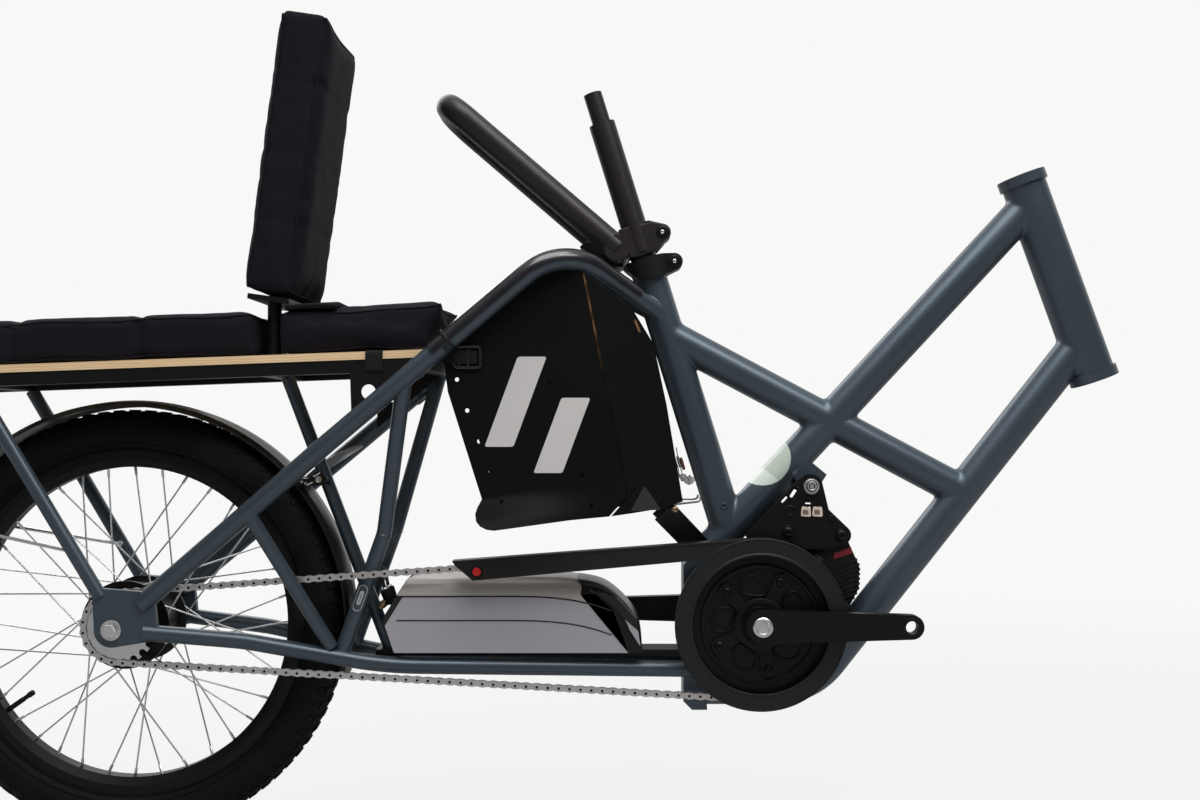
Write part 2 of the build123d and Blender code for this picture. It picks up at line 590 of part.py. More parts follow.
# ---------------------------------------------------------------- chain and guard
def chain_loop():
    """Two bands of side plates round both sprockets, joined by a roller at every pitch of the two straight runs.

    The chain doesn't run round with the sprockets, so no roller lies where a turning tooth passes.
    """
    ring, cog = pitch_radius(RING_TEETH), pitch_radius(COG_TEETH)
    reach = TOOTH_TIP + ROLLER_R + 0.5

    def band(grow):
        return make_hull((Circle(ring + grow) + Pos(*AXLE) * Circle(cog + grow)).edges())

    face = band(4.2) - band(-4.2)
    loop = side_slab(face, CHAIN_Y - 3.6, CHAIN_Y - 2.0) + side_slab(face, CHAIN_Y + 2.0, CHAIN_Y + 3.6)
    free = [(x, z) for x, z in PINS
            if sqrt(x**2 + z**2) > ring + reach and sqrt((x - AXLE[0]) ** 2 + (z - AXLE[1]) ** 2) > cog + reach]
    rollers = Sketch() + [Pos(x, z) * Circle(ROLLER_R) for x, z in free]
    loop += side_slab(rollers, CHAIN_Y - 3.6, CHAIN_Y + 3.6)
    keep("chain", loop)


chain_loop()


def chain_guard():
    """The guard over the chain's upper run: a ring round the chainring and an arm back to its tail, with a flange."""
    arm = make_face(Polyline((0, 100), (-24, 98.6), (-357, 74), (-354, 69), (-333, 51.2), (-60, 76), (0, 84),
                             close=True))
    face = Circle(GUARD_R) - Circle(80) + arm
    face = face - Circle(80)
    plate = side_slab(face, -70, -67)
    arc = Circle(GUARD_R) - Circle(GUARD_R - 2.6) - Pos(0, -60) * Rectangle(300, 120)
    rim = side_slab(arc - Pos(-74, 50) * Rectangle(100, 120), -67, -48.5)
    top = make_face(Polyline((0, 97.4), (-24, 96), (-356, 71.5), (-357, 74), (-24, 98.6), (0, 100), close=True))
    rim += side_slab(top, -67, -48.5)
    guard = plate + rim
    for angle in (12, 48):
        x, z = (GUARD_R + 1.5) * cos(radians(angle)), (GUARD_R + 1.5) * sin(radians(angle))
        guard += rod((x, -68, z), (x, -30, z), 3.5) - PARTS["motor"]
    keep("chain_guard", biggest(guard))


chain_guard()


# ---------------------------------------------------------------- battery
def battery():
    """The battery on its tray between the chainstays."""
    side = make_face(Polyline((-441, 2), (-438, 10), (-412, 51), (-236, 51), (-200, 44), (-166, 28), (-144, 4),
                              (-138, -36), (-428, -36), close=True))
    body = side_slab(side, -46, 46)
    for sign in (-1, 1):
        cut = Pos(-290, sign * 52, 51) * Rot(sign * 38, 0, 0) * Box(400, 60, 24)
        body -= cut
    keep("battery", biggest(body))
    tray = Pos(-271, 0, -39.5) * Box(366, 44, 7)
    keep("battery_tray", biggest(tray - YOKE - PARTS["center_strut"] - PARTS["stay_bridge"]))


battery()


# ---------------------------------------------------------------- rear wheel
def revolve_wheel(face):
    """Revolves a face drawn in (radius, offset from the wheel's middle) about the wheel's axis."""
    solid = revolve(Plane.XY * face, Axis.Y, 360)
    return Pos(AXLE[0], 0, AXLE[1]) * solid


def rear_wheel():
    """Tyre, rim, spokes, hub, axle and rear sprocket."""
    x, z = AXLE
    bore = AXLE_R + RUNNING_FIT
    outer = TYRE_R - TYRE_SECTION
    carcass = Pos(outer, 0) * Circle(TYRE_SECTION) - Pos(outer, 0) * Circle(TYRE_SECTION - 4)
    tyre = carcass - Pos(RIM_R - 12, 0) * Rectangle(30, 26)
    tyre = revolve_wheel(tyre)
    keep("tyre", biggest(tyre))
    rim = make_face(Polyline((206, -14), (206, -12.6), (199, -12.6), (195, 0), (199, 12.6), (206, 12.6), (206, 14),
                             (195, 14), (186, 8), (186, -8), (195, -14), close=True))
    keep("rim", revolve_wheel(rim))
    hub = make_face(Polyline((bore, -44), (24, -44), (24, -36), (52, -33), (52, -29), (45, -27), (45, 27), (52, 29),
                             (52, 33), (28, 36), (28, 44), (bore, 44), close=True))
    keep("hub", revolve_wheel(hub))
    keep("rear_axle", rod((x, -80, z), (x, 80, z), AXLE_R))
    rods = []
    for k in range(SPOKES):
        side = -1 if k % 2 else 1
        a = radians(k * 360 / SPOKES)
        lead = radians(36) * (1 if (k // 2) % 2 else -1)
        start = (x + 51.0 * cos(a + lead), side * 31, z + 51.0 * sin(a + lead))
        end = (x + 187 * cos(a), 0, z + 187 * sin(a))
        rods.append(biggest(rod(start, end, 1.0) - PARTS["hub"] - PARTS["rim"]))
    keep("spokes", Compound(children=rods))
    cog = toothed(COG_TEETH, PINS[int(N_RUN) + 4], AXLE, 20.0, CHAIN_Y, 2.2)
    cog += rod((x, -57, z), (x, -44, z), 26)
    keep("rear_sprocket", biggest(cog - rod((x, -90, z), (x, 90, z), bore)))


rear_wheel()


def mudguard():
    """The rear mudguard with its stays and the tab at its front."""
    face = make_face(Polyline((258, -28), (262, -22), (264, 0), (262, 22), (258, 28), (260, 28.4), (264, 22.6),
                              (266, 0), (264, -22.6), (260, -28.4), close=True))
    arc = revolve(Plane.XY * face, Axis.Y, MUDGUARD_SPAN)
    keep("mudguard", Pos(AXLE[0], 0, AXLE[1]) * Rot(0, 180 - MUDGUARD_DROP, 0) * arc)
    x, z = AXLE
    foot = (x - 42.7, 63, z + 87.5)
    a = radians(MUDGUARD_STAY)
    eye = (x - 262 * cos(a), 31.5, z + 262 * sin(a))
    side = rod(foot, eye, 2.0) + rod((foot[0], 61, foot[2]), (foot[0], 70, foot[2]), 4.0)
    lug = rod((eye[0], 25.5, eye[2]), (eye[0], 33, eye[2]), 4.0)
    wire = biggest(side + lug - PARTS["mudguard"] - PARTS["rear_stay_left"])
    keep_pair("mudguard_stays", wire)
    tab = Pos(-530.5, 0, 162) * Box(40, 18, 4)
    tab = biggest(tab - PARTS["mudguard"] - PARTS["center_strut"])
    keep("mudguard_tab", tab)


mudguard()

if __name__ == "__main__":
    os.makedirs("parts", exist_ok=True)
    for name, shape in PARTS.items():
        export_step(Pos(*(-HEAD_ORIGIN)) * shape, f"parts/{name}.step")
    print("axle", AXLE, "links", LINKS, "count", N_RUN, N_COG)
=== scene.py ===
"""Looks of the longtail cargo bike chassis: finishes, welds, bolts, seats, chain, tyre and small parts."""
from math import asin, ceil, cos, exp, pi, radians, sin, sqrt, tan, tanh

import bmesh
import bpy
from mathutils import Matrix, Vector, noise
from mathutils.bvhtree import BVHTree


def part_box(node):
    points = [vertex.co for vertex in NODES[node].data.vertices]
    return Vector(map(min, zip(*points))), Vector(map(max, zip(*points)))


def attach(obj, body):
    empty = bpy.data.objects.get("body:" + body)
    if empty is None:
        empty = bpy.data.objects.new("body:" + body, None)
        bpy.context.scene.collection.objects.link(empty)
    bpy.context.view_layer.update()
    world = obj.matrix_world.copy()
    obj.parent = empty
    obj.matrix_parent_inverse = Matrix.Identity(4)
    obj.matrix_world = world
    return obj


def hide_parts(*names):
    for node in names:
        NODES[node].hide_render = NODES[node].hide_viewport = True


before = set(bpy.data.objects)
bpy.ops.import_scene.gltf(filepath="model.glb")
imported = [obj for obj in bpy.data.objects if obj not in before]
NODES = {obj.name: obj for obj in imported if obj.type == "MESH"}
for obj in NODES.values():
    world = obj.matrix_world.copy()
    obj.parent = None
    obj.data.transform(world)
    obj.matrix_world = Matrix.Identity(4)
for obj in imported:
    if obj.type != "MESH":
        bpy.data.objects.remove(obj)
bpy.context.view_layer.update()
MM = 0.001


# ------------------------ places read from the frame
def middle(node):
    """The middle of a node's box."""
    low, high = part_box(node)
    return (Vector(low) + Vector(high)) / 2


CRANK = middle("spindle")          # where the cranks turn; places below are in millimetres from here
AXLE = middle("rear_axle")
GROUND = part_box("tyre")[0][2]
TREAD_DEPTH = 1.6                  # how far the tread stands above the plain tyre


def at(x, y, z):
    """A point from millimetres forward, left and up of the cranks."""
    return CRANK + Vector((x, y, z)) * MM


AXLE_X, AXLE_Z = (AXLE.x - CRANK.x) / MM, (AXLE.z - CRANK.z) / MM

SEAT_LEAN = radians(17.3)
SEAT_DIR = Vector((-sin(SEAT_LEAN), 0, cos(SEAT_LEAN)))
DECK_SLOPE = radians(2.1)
DECK_X, DECK_Z = -525.0, 303.4     # a point of the deck board's underside
PLY = 9.0                          # thickness of the deck board
PANEL_OUT = 82.6                   # how far a leg guard's sheet stands from the middle of the bike
FOLD_TOP, FOLD_LOW = (-205, -84, 405), (-150, -84, 128)
RAIL_R = 11.0
RAIL_START, RAIL_CORNER, RAIL_KNEE = (-119, -12, 366), (-229, -98, 434.8), (-500, -95.5, 206)
CHAIN_Y, PITCH = -54.0, 12.7
RING_TEETH, COG_TEETH = 44, 20
RING_R, COG_R = (PITCH / 2 / sin(pi / teeth) for teeth in (RING_TEETH, COG_TEETH))
SIDES = (-1, 1)                    # right, left
RIGHT, LEFT = (0, -1, 0), (0, 1, 0)
TOOTH_REACH = 9.0                  # a pin this far past the pitch circle is clear of the teeth

# round tubes as (a point on the axis, the axis' direction, radius), in millimetres from the cranks
SEAT_TUBE = ((0, 0, 0), SEAT_DIR, 20.5)
MAIN_BEAM = ((-4.9, 0, 135.5), (cos(radians(47.2)), 0, sin(radians(47.2))), 20.5)
LOWER_BEAM = ((126.4, 0, -5.2), (cos(radians(51.8)), 0, sin(radians(51.8))), 21.0)
CROSS_BEAM = ((-77.3, 0, 324.4), (cos(radians(28)), 0, -sin(radians(28))), 20.0)
HEAD_TUBE = ((409.5, 0, 285.2), (-sin(radians(20)), 0, cos(radians(20))), 26.0)


def deck_z(x):
    """Height of the plywood's underside."""
    return DECK_Z + (x - DECK_X) * tan(DECK_SLOPE)


# ------------------------ shader values and finishes
class Wire:
    """A shader value that takes part in plain arithmetic."""

    def __init__(self, finish, socket):
        self.finish, self.socket = finish, socket

    def maths(self, operation, *values):
        sockets = dict(enumerate(values))
        return self.finish.node("ShaderNodeMath", {"operation": operation}, sockets)

    def __add__(self, other):
        return self.maths("ADD", self, other)

    def __sub__(self, other):
        return self.maths("SUBTRACT", self, other)

    def __rsub__(self, other):
        return self.maths("SUBTRACT", other, self)

    def __mul__(self, other):
        return self.maths("MULTIPLY", self, other)

    __radd__ = __add__
    __rmul__ = __mul__

    def wave(self):
        return self.maths("SINE", self)

    def size(self):
        return self.maths("ABSOLUTE", self)

    def larger(self, other):
        return self.maths("MAXIMUM", self, other)

    def rise(self, low, high):
        """0 below low, 1 above high, smooth between."""
        return self.finish.node("ShaderNodeMapRange", {"interpolation_type": "SMOOTHSTEP"},
                                {"Value": self, "From Min": low, "From Max": high})


class Finish:
    """One material: a Principled surface with helpers that add nodes."""

    def __init__(self, name):
        self.material = bpy.data.materials.new(name)
        self.material.use_nodes = True
        self.tree = self.material.node_tree
        self.bsdf = self.tree.nodes["Principled BSDF"]
        self.place = self.node("ShaderNodeTexCoord", out="Object")

    def put(self, socket, value):
        if isinstance(value, Wire):
            self.tree.links.new(value.socket, socket)
        elif socket.type == "RGBA" and len(value) == 3:
            socket.default_value = (*value, 1)
        else:
            socket.default_value = value

    def node(self, kind, settings=None, sockets=None, out=0):
        made = self.tree.nodes.new(kind)
        for key, value in (settings or {}).items():
            setattr(made, key, value)
        for key, value in (sockets or {}).items():
            self.put(made.inputs[key], value)
        return Wire(self, made.outputs[out])

    def set(self, **inputs):
        for key, value in inputs.items():
            self.put(self.bsdf.inputs[key.replace("_", " ")], value)
        return self.material

    def seen_ray(self):
        """1 on rays from the camera, also through glass."""
        camera, glass = (self.node("ShaderNodeLightPath", out=f"Is {kind} Ray")
                         for kind in ("Camera", "Transmission"))
        return camera.larger(glass)

    def axis(self, k, source=None):
        return self.node("ShaderNodeSeparateXYZ", {}, {0: source or self.place}, out=k)

    def stretched(self, *scale):
        return self.node("ShaderNodeMapping", {}, {"Vector": self.place, "Scale": scale})

    def noise(self, scale, detail=3.0, source=None):
        sockets = {"Vector": source or self.place, "Scale": scale, "Detail": detail, "Roughness": 0.55}
        return self.node("ShaderNodeTexNoise", {}, sockets)

    def cells(self, scale, out="Distance"):
        return self.node("ShaderNodeTexVoronoi", {}, {"Vector": self.place, "Scale": scale}, out=out)

    def mix(self, share, a, b):
        return self.node("ShaderNodeMix", {"data_type": "RGBA"}, {0: share, 6: a, 7: b}, out=2)

    def bump(self, height, distance, strength=1.0, under=None):
        sockets = {"Height": height, "Distance": distance, "Strength": strength}
        if under is not None:
            sockets["Normal"] = under
        return self.node("ShaderNodeBump", {}, sockets)


def scaled(colour, share):
    """The colour made darker or paler."""
    return tuple(c * share for c in colour)


def frame_paint():
    """Satin metallic blue-grey: fine flake, a slow drift of tone, dust and a few worn paler spots."""
    f = Finish("frame_paint")
    drift = f.noise(3.5, 2).rise(0.30, 0.75)
    flake = f.axis(0, f.cells(3200, out="Color"))
    tone = f.mix(drift, (0.053, 0.074, 0.094), (0.062, 0.085, 0.106))
    tone = f.mix(flake.rise(0.86, 1.0) * 0.12, tone, (0.13, 0.16, 0.19))
    dust = f.noise(26, 5).rise(0.58, 0.86)
    lighter_marks = f.noise(95, 3).rise(0.70, 0.80)
    tone = f.mix(dust * 0.07, tone, (0.19, 0.20, 0.21))
    return f.set(Base_Color=f.mix(lighter_marks * 0.12, tone, (0.10, 0.125, 0.15)),
                 Metallic=flake.rise(0.4, 0.95) * 0.08 + 0.44,
                 Roughness=dust * 0.08 + drift * 0.05 + 0.37,
                 Coat_Weight=0.22, Coat_Roughness=0.20,
                 Normal=f.bump(f.noise(70, 2), 0.00012, 0.10))


def dark_coat(name, colour, roughness, metallic=0.0, grain=900.0, depth=0.00010, pale=(0.022, 0.022, 0.023),
              shine=0.22):
    """Powder coat, moulded plastic or anodising: dark, with a fine grain and faint handling marks."""
    f = Finish(name)
    dust = f.noise(17, 6).rise(0.50, 0.90)
    drift = f.noise(3, 2)
    scuff = f.noise(140, 2, f.stretched(1, 1, 0.12)).rise(0.66, 0.80)
    tone = f.mix(drift.rise(0.3, 0.75) * 0.30, colour, scaled(colour, 1.25))
    tone = f.mix(dust * 0.16, tone, pale)
    return f.set(Base_Color=f.mix(scuff * 0.12, tone, scaled(pale, 1.5)), Metallic=metallic,
                 Roughness=dust * 0.08 + drift * 0.04 + roughness, Specular_IOR_Level=shine,
                 Normal=f.bump(f.noise(grain, 2), depth, 0.18))


def brown_anodised():
    """Dark brown anodising, drawn into fine lines round the tubes."""
    f = Finish("brown_anodised")
    lines = f.noise(60, 3, f.stretched(1, 30, 1))
    drift = f.noise(4, 2)
    tone = f.mix(drift.rise(0.3, 0.7), (0.0155, 0.0128, 0.0122), (0.021, 0.0174, 0.0162))
    dust = f.noise(20, 5).rise(0.55, 0.85)
    return f.set(Base_Color=f.mix(dust * 0.12, tone, (0.07, 0.062, 0.058)), Metallic=0.15,
                 Specular_IOR_Level=0.40, Roughness=drift * 0.08 + 0.36, Normal=f.bump(lines, 0.00005, 0.03))


def gloss_strip():
    """Glossy black trim with a slow ripple."""
    f = Finish("gloss_strip")
    ripple = f.noise(26, 2)
    return f.set(Base_Color=f.mix(ripple.rise(0.3, 0.7), (0.0080, 0.0072, 0.0100), (0.0135, 0.0120, 0.0165)),
                 Roughness=ripple * 0.08 + 0.22, Coat_Weight=0.5, Coat_Roughness=0.10,
                 Normal=f.bump(ripple, 0.0009, 0.20))


def guard_sheet():
    """The leg guard's black satin sheet, with a warm painted reflection along its fold's upper part and at
    one short mark.
    """
    f = Finish("leg_guard")
    x, z = f.axis(0), f.axis(2)
    dust = f.noise(14, 6).rise(0.50, 0.90)
    drift = f.noise(3, 2)
    fold = at(*FOLD_TOP), at(*FOLD_LOW)
    lean = (fold[1].x - fold[0].x) / (fold[1].z - fold[0].z)
    off = (x - fold[0].x - (z - fold[0].z) * lean).size()
    # painted reflection: a warm light line along the fold's upper part, broken up by noise, and one short
    # slanting mark
    lighter_marks = (1 - off.rise(0.0004, 0.0016)) * z.rise(at(0, 0, 282).z, at(0, 0, 330).z)
    lighter_marks = lighter_marks * f.noise(60, 3).rise(0.30, 0.65) * f.noise(9, 2).rise(0.30, 0.55)
    height = z - at(0, 0, 345.5).z
    spot = (x - at(-143, 0, 0).x + height * 0.4).size()        # the short slanting mark of painted reflection
    lighter_marks = lighter_marks.larger((1 - spot.rise(0.0008, 0.0018)) * (1 - height.size().rise(0.005, 0.0085)))
    tone = f.mix(drift.rise(0.3, 0.75), (0.0066, 0.0068, 0.0068), (0.0082, 0.0084, 0.0084))
    tone = f.mix(dust * 0.12, tone, (0.024, 0.024, 0.025))
    # mixes in the warm painted reflection along the fold and at the short mark
    return f.set(Base_Color=f.mix(lighter_marks * 0.85, tone, (0.25, 0.135, 0.06)),
                 Roughness=dust * 0.09 + drift * 0.04 + 0.42, Specular_IOR_Level=0.04,
                 Normal=f.bump(f.noise(1500, 2), 0.00006, 0.3))


def woven(name, dark, pale, thread, lint=0.08):
    """A plain weave: two sets of threads over and under each other, with soft creases and lint."""
    f = Finish(name)
    x, y, z = (f.axis(k) for k in range(3))
    turn = 2 * pi / thread
    warp = ((x + y * 0.31) * turn).wave()
    weft = ((z + y * 0.95) * turn).wave()
    weave = warp * weft * 0.5 + 0.5
    crease = f.noise(16, 4)
    specks = f.cells(500).rise(0.0, 0.06)
    tone = f.mix(weave, dark, pale)
    tone = f.mix(crease.rise(0.45, 0.80) * 0.25, tone, scaled(pale, 1.4))
    tone = f.mix((1 - specks) * lint, tone, (0.09, 0.09, 0.10))
    fine = f.bump(weave, thread * 0.20, 0.40)
    return f.set(Base_Color=tone, Roughness=crease * 0.10 + 0.78, Specular_IOR_Level=0.10, Sheen_Weight=0.01,
                 Sheen_Roughness=0.45, Normal=f.bump(crease, 0.004, 0.22, under=fine))


def plywood():
    """Pale grain, with dark plies lying along the sloping deck."""
    f = Finish("plywood")
    grain = f.noise(40, 5, f.stretched(0.35, 8, 8))
    ply_pair = 0.0030
    across = (f.axis(2) - f.axis(0) * tan(DECK_SLOPE)) * (2 * pi / ply_pair)
    plies = across.wave().rise(-0.3, 0.5)
    pale = f.mix(grain.rise(0.35, 0.7), (0.84, 0.60, 0.34), (0.90, 0.68, 0.42))
    dark = f.mix(grain, (0.56, 0.335, 0.155), (0.66, 0.41, 0.20))
    return f.set(Base_Color=f.mix(plies * 0.38, pale, dark), Roughness=grain * 0.15 + 0.42,
                 Coat_Weight=0.2, Coat_Roughness=0.25, Normal=f.bump(grain, 0.0002, 0.4))


def bare_metal(name, colour, roughness, tarnish=0.35):
    """Uncoated metal with clouds of tarnish and fine scratches."""
    f = Finish(name)
    cloud = f.noise(60, 4)
    scratch = f.noise(900, 2, f.stretched(1, 1, 0.08))
    return f.set(Base_Color=f.mix(cloud.rise(0.45, 0.8) * tarnish, colour, scaled(colour, 0.55)),
                 Metallic=0.95, Roughness=cloud * 0.14 + scratch * 0.08 + roughness,
                 Normal=f.bump(scratch, 0.00004, 0.3))


def tyre_rubber():
    """Matt black rubber with road dust."""
    f = Finish("tyre_rubber")
    cloud = f.noise(30, 4)
    dust = f.noise(9, 5).rise(0.45, 0.75)
    return f.set(Base_Color=f.mix(dust * 0.30, (0.0050, 0.0050, 0.0054), (0.022, 0.021, 0.019)),
                 Roughness=cloud * 0.15 + 0.62, Specular_IOR_Level=0.13,
                 Normal=f.bump(f.noise(700, 2), 0.00015, 0.4))


def battery_shell():
    """Grey-brown cover with black end caps; the flanks are cooler than the sloping facets on top."""
    f = Finish("battery_shell")
    x, z = f.axis(0), f.axis(2)
    cloud = f.noise(11, 3)
    sag = ((x - at(SEAM_BEND, 0, 0).x) * (1 / (SEAM_REACH * MM))).larger(0.0)
    line = z + sag * sag * sag * (SEAM_DROP * MM) - at(0, 0, SEAM_Z).z
    facet = line.rise(-0.0003, 0.0003)
    tone = f.mix(facet, (0.42, 0.41, 0.45), (0.48, 0.445, 0.425))
    tone = f.mix(cloud.rise(0.4, 0.8) * 0.15, tone, (0.40, 0.375, 0.36))
    cap_edge = at(-213.6, 0, 0).x + at(0, 0, 51.8).z * FRONT_CAP_LEAN
    front_cap = (x + z * FRONT_CAP_LEAN).rise(cap_edge - 0.0003, cap_edge + 0.0003)
    rear_cap = 1 - (x - z * REAR_CAP_LEAN + facet * 0.0075).rise(REAR_CAP_EDGE, REAR_CAP_EDGE + 0.001)
    caps = front_cap.larger(rear_cap)
    return f.set(Base_Color=f.mix(caps, tone, (0.006, 0.006, 0.0065)), Metallic=(1 - caps) * 0.20,
                 Roughness=cloud * 0.06 - caps * 0.06 + 0.38, Normal=f.bump(f.noise(1100, 2), 0.00008, 0.3))


def label_disc():
    """The round label on the main beam: pale green, paler below a slanting line."""
    f = Finish("label_disc")
    x, z = f.axis(0), f.axis(2)
    edge = at(1.9, 0, 184.8)
    below = 1 - (z - edge.z + (x - edge.x) * 0.82).rise(-0.0003, 0.0003)
    cloud = f.noise(90, 4)
    tone = f.mix(below, (0.50, 0.575, 0.50), (0.70, 0.78, 0.72))
    return f.set(Base_Color=f.mix(cloud.rise(0.4, 0.8) * 0.25, tone, (0.42, 0.47, 0.42)),
                 Roughness=cloud * 0.1 + 0.30, Normal=f.bump(f.noise(40, 3), 0.0002, 0.2))


def pale_foam():
    """The pale blocks in the motor plate's two windows, whiter towards the top."""
    f = Finish("pale_foam")
    cloud = f.noise(160, 3)
    tone = f.mix(f.axis(2).rise(at(0, 0, 135.5).z, at(0, 0, 138).z), (0.74, 0.62, 0.52), (1.0, 1.0, 0.99))
    return f.set(Base_Color=f.mix(cloud * 0.15, tone, (0.6, 0.52, 0.45)), Roughness=cloud * 0.1 + 0.75,
                 Normal=f.bump(cloud, 0.0002, 0.3))


def flat_paint(name, colour, roughness):
    """One even colour, clouded and worn a little."""
    f = Finish(name)
    cloud = f.noise(70, 4)
    worn = f.noise(420, 3).rise(0.62, 0.74)
    return f.set(Base_Color=f.mix(cloud * 0.20 + worn * 0.12, colour, scaled(colour, 0.78)),
                 Roughness=cloud * 0.10 + roughness, Normal=f.bump(worn, 0.00005, 0.3))


# the battery's seam is level at SEAM_Z up to SEAM_BEND, and SEAM_REACH further on it is SEAM_DROP lower
SEAM_Z, SEAM_BEND, SEAM_REACH, SEAM_DROP = 31.2, -300, 127, 17
FRONT_CAP_LEAN = 1.155             # the front cap's edge leans back this much for each unit up
REAR_CAP_LEAN = 0.62               # the battery's rear end leans forward this much for each unit up
REAR_CAP_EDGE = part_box("battery")[0][0] + 0.010 - REAR_CAP_LEAN * (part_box("battery")[0][2] + 0.045)

PAINT = frame_paint()
BLACK_STEEL = dark_coat("black_steel", (0.0050, 0.0050, 0.0054), 0.40, shine=0.25)
BLACK_ALLOY = dark_coat("black_alloy", (0.0048, 0.0048, 0.0052), 0.36, metallic=0.10)
CASTING = dark_coat("motor_casting", (0.0046, 0.0046, 0.0046), 0.46, grain=650, depth=0.00030)
PLASTIC = dark_coat("black_plastic", (0.0052, 0.0052, 0.0056), 0.34, grain=1500, depth=0.00006,
                    pale=(0.018, 0.018, 0.019), shine=0.35)
LEG_GUARD = guard_sheet()
GUARD_PLASTIC = dark_coat("guard_plastic", (0.0112, 0.0104, 0.0104), 0.42, grain=1200, shine=0.32)
ANODISED = brown_anodised()
GLOSS = gloss_strip()
FABRIC = woven("navy_fabric", (0.0056, 0.0053, 0.0082), (0.0116, 0.0108, 0.0158), 0.0011)
WEBBING = woven("webbing", (0.009, 0.009, 0.010), (0.020, 0.020, 0.021), 0.0018, lint=0.03)
WOOD = plywood()
STEEL = bare_metal("bright_steel", (0.72, 0.72, 0.73), 0.20)
CHAIN_STEEL = bare_metal("chain_steel", (0.68, 0.655, 0.65), 0.30, tarnish=0.4)
BRONZE = bare_metal("bronze_fitting", (0.42, 0.29, 0.17), 0.30, tarnish=0.5)
RUBBER = tyre_rubber()
BATTERY = battery_shell()
RED = flat_paint("red_anodised", (0.72, 0.018, 0.022), 0.30)
DARK_RED = flat_paint("dark_red_strip", (0.20, 0.008, 0.014), 0.42)
MARK = flat_paint("mark_grey", (0.66, 0.64, 0.63), 0.46)
STICKER = label_disc()
HOSE = flat_paint("grey_hose", (0.30, 0.31, 0.31), 0.38)
PAD = flat_paint("motor_pad", (0.20, 0.15, 0.12), 0.6)
RUST = flat_paint("brown_cap", (0.085, 0.022, 0.014), 0.5)
BEIGE = pale_foam()

CAD_FINISH = (                     # a star stands for right and for left
    (PAINT, "seat_tube main_beam lower_beam head_tube cross_beam bottom_yoke side_rail_* chainstay_* "
            "rear_stay_* dropout_* front_strut_* rear_strut_* stay_bridge center_strut motor_tab"),
    (BLACK_STEEL, "deck_rack deck_gussets panel_stays backrest_base mudguard_tab battery_tray seat_clamp"),
    (BLACK_ALLOY, "motor_plate_* rim hub crank_arm_* chainring"),
    (CASTING, "motor"),
    (ANODISED, "seat_post bar_clamp grab_hoop"),
    (PLASTIC, "mudguard"),
    (LEG_GUARD, "side_panel_*"),
    (GUARD_PLASTIC, "chain_guard"),
    (GLOSS, "rail_cap_*"),
    (FABRIC, "front_cushion rear_cushion backrest_pad"),
    (WOOD, "deck_board"),
    (STEEL, "motor_bolt spindle rear_axle spokes mudguard_stays rear_sprocket"),
    (CHAIN_STEEL, "chain"),
    (RUBBER, "tyre"),
    (BATTERY, "battery"),
)
for finish, names in CAD_FINISH:
    for name in names.split():
        for side in ("right", "left") if "*" in name else ("",):
            materials = NODES[name.replace("*", side)].data.materials
            materials.clear()
            materials.append(finish)


# ------------------------ camera, floor and light
def stage():
    """The camera, a floor that glows like the backdrop, the room and three softboxes."""
    scene = bpy.context.scene
    scene.view_settings.view_transform = "Standard"
    camera = bpy.data.objects.new("camera", bpy.data.cameras.new("camera"))
    scene.collection.objects.link(camera)
    camera.location = at(-163.1, -1600.0, 225.2)          # square on to the right side
    camera.rotation_euler = (radians(90), 0, 0)
    camera.data.lens, camera.data.sensor_width = 39.8, 36.0
    camera.data.shift_x, camera.data.shift_y = -0.0167, 0.025
    scene.camera = camera

    mesh = bmesh.new()
    bmesh.ops.create_grid(mesh, x_segments=1, y_segments=1, size=14)
    mesh.transform(Matrix.Translation((CRANK.x, 0, GROUND - (TREAD_DEPTH + FLOOR_GAP) * MM)))
    f = Finish("pale_floor")
    f.set(Base_Color=(0.40, 0.40, 0.40), Roughness=0.85, Specular_IOR_Level=0.1)
    away = f.node("ShaderNodeVectorMath", {"operation": "LENGTH"}, {0: f.place}, out="Value")
    glow = f.node("ShaderNodeEmission", {}, {"Color": BACKDROP, "Strength": 1.0})
    share = f.seen_ray() * (away.rise(0.7, 2.6) * (1 - FLOOR_GLOW) + FLOOR_GLOW)
    seen = f.node("ShaderNodeMixShader", {}, {0: share, 1: Wire(f, f.bsdf.outputs[0]), 2: glow})
    f.put(f.tree.nodes["Material Output"].inputs["Surface"], seen)
    new_object("floor", mesh, f.material)

    world = bpy.data.worlds.new("studio")
    scene.world = world
    world.use_nodes = True
    room = Finish.__new__(Finish)            # a finish's helpers, for the world's nodes
    room.tree = world.node_tree
    room.tree.nodes.clear()
    way = room.node("ShaderNodeTexCoord", out="Generated")
    wall = room.axis(1, way).rise(-0.05, 0.60).larger(room.axis(2, way).rise(0.45, 0.95))
    dark, light = (room.node("ShaderNodeBackground", {}, {"Color": ROOM_WHITE, "Strength": strength})
                   for strength in (0.10, 0.80))
    sky = room.node("ShaderNodeMixShader", {}, {0: wall, 1: dark, 2: light})
    backdrop = room.node("ShaderNodeBackground", {}, {"Color": BACKDROP})
    blend = room.node("ShaderNodeMixShader", {}, {0: room.seen_ray(), 1: sky, 2: backdrop})
    out = room.tree.nodes.new("ShaderNodeOutputWorld")
    room.put(out.inputs["Surface"], blend)

    for name, place, turn, size, power in (              # metres, degrees, metres, watts
            ("softbox_top", (-0.5, -1.0, 2.2), (26, 0, 0), 1.8, 52),
            ("softbox_front", (0.9, -1.5, 2.2), (38, 0, 28), 1.0, 20),
            ("softbox_back", (-1.9, 2.0, 1.6), (-56, 0, 40), 1.6, 22)):
        lamp = bpy.data.lights.new(name, "AREA")
        lamp.size = size
        lamp.energy = power
        holder = bpy.data.objects.new(name, lamp)
        holder.location = place
        holder.rotation_euler = [radians(a) for a in turn]
        scene.collection.objects.link(holder)


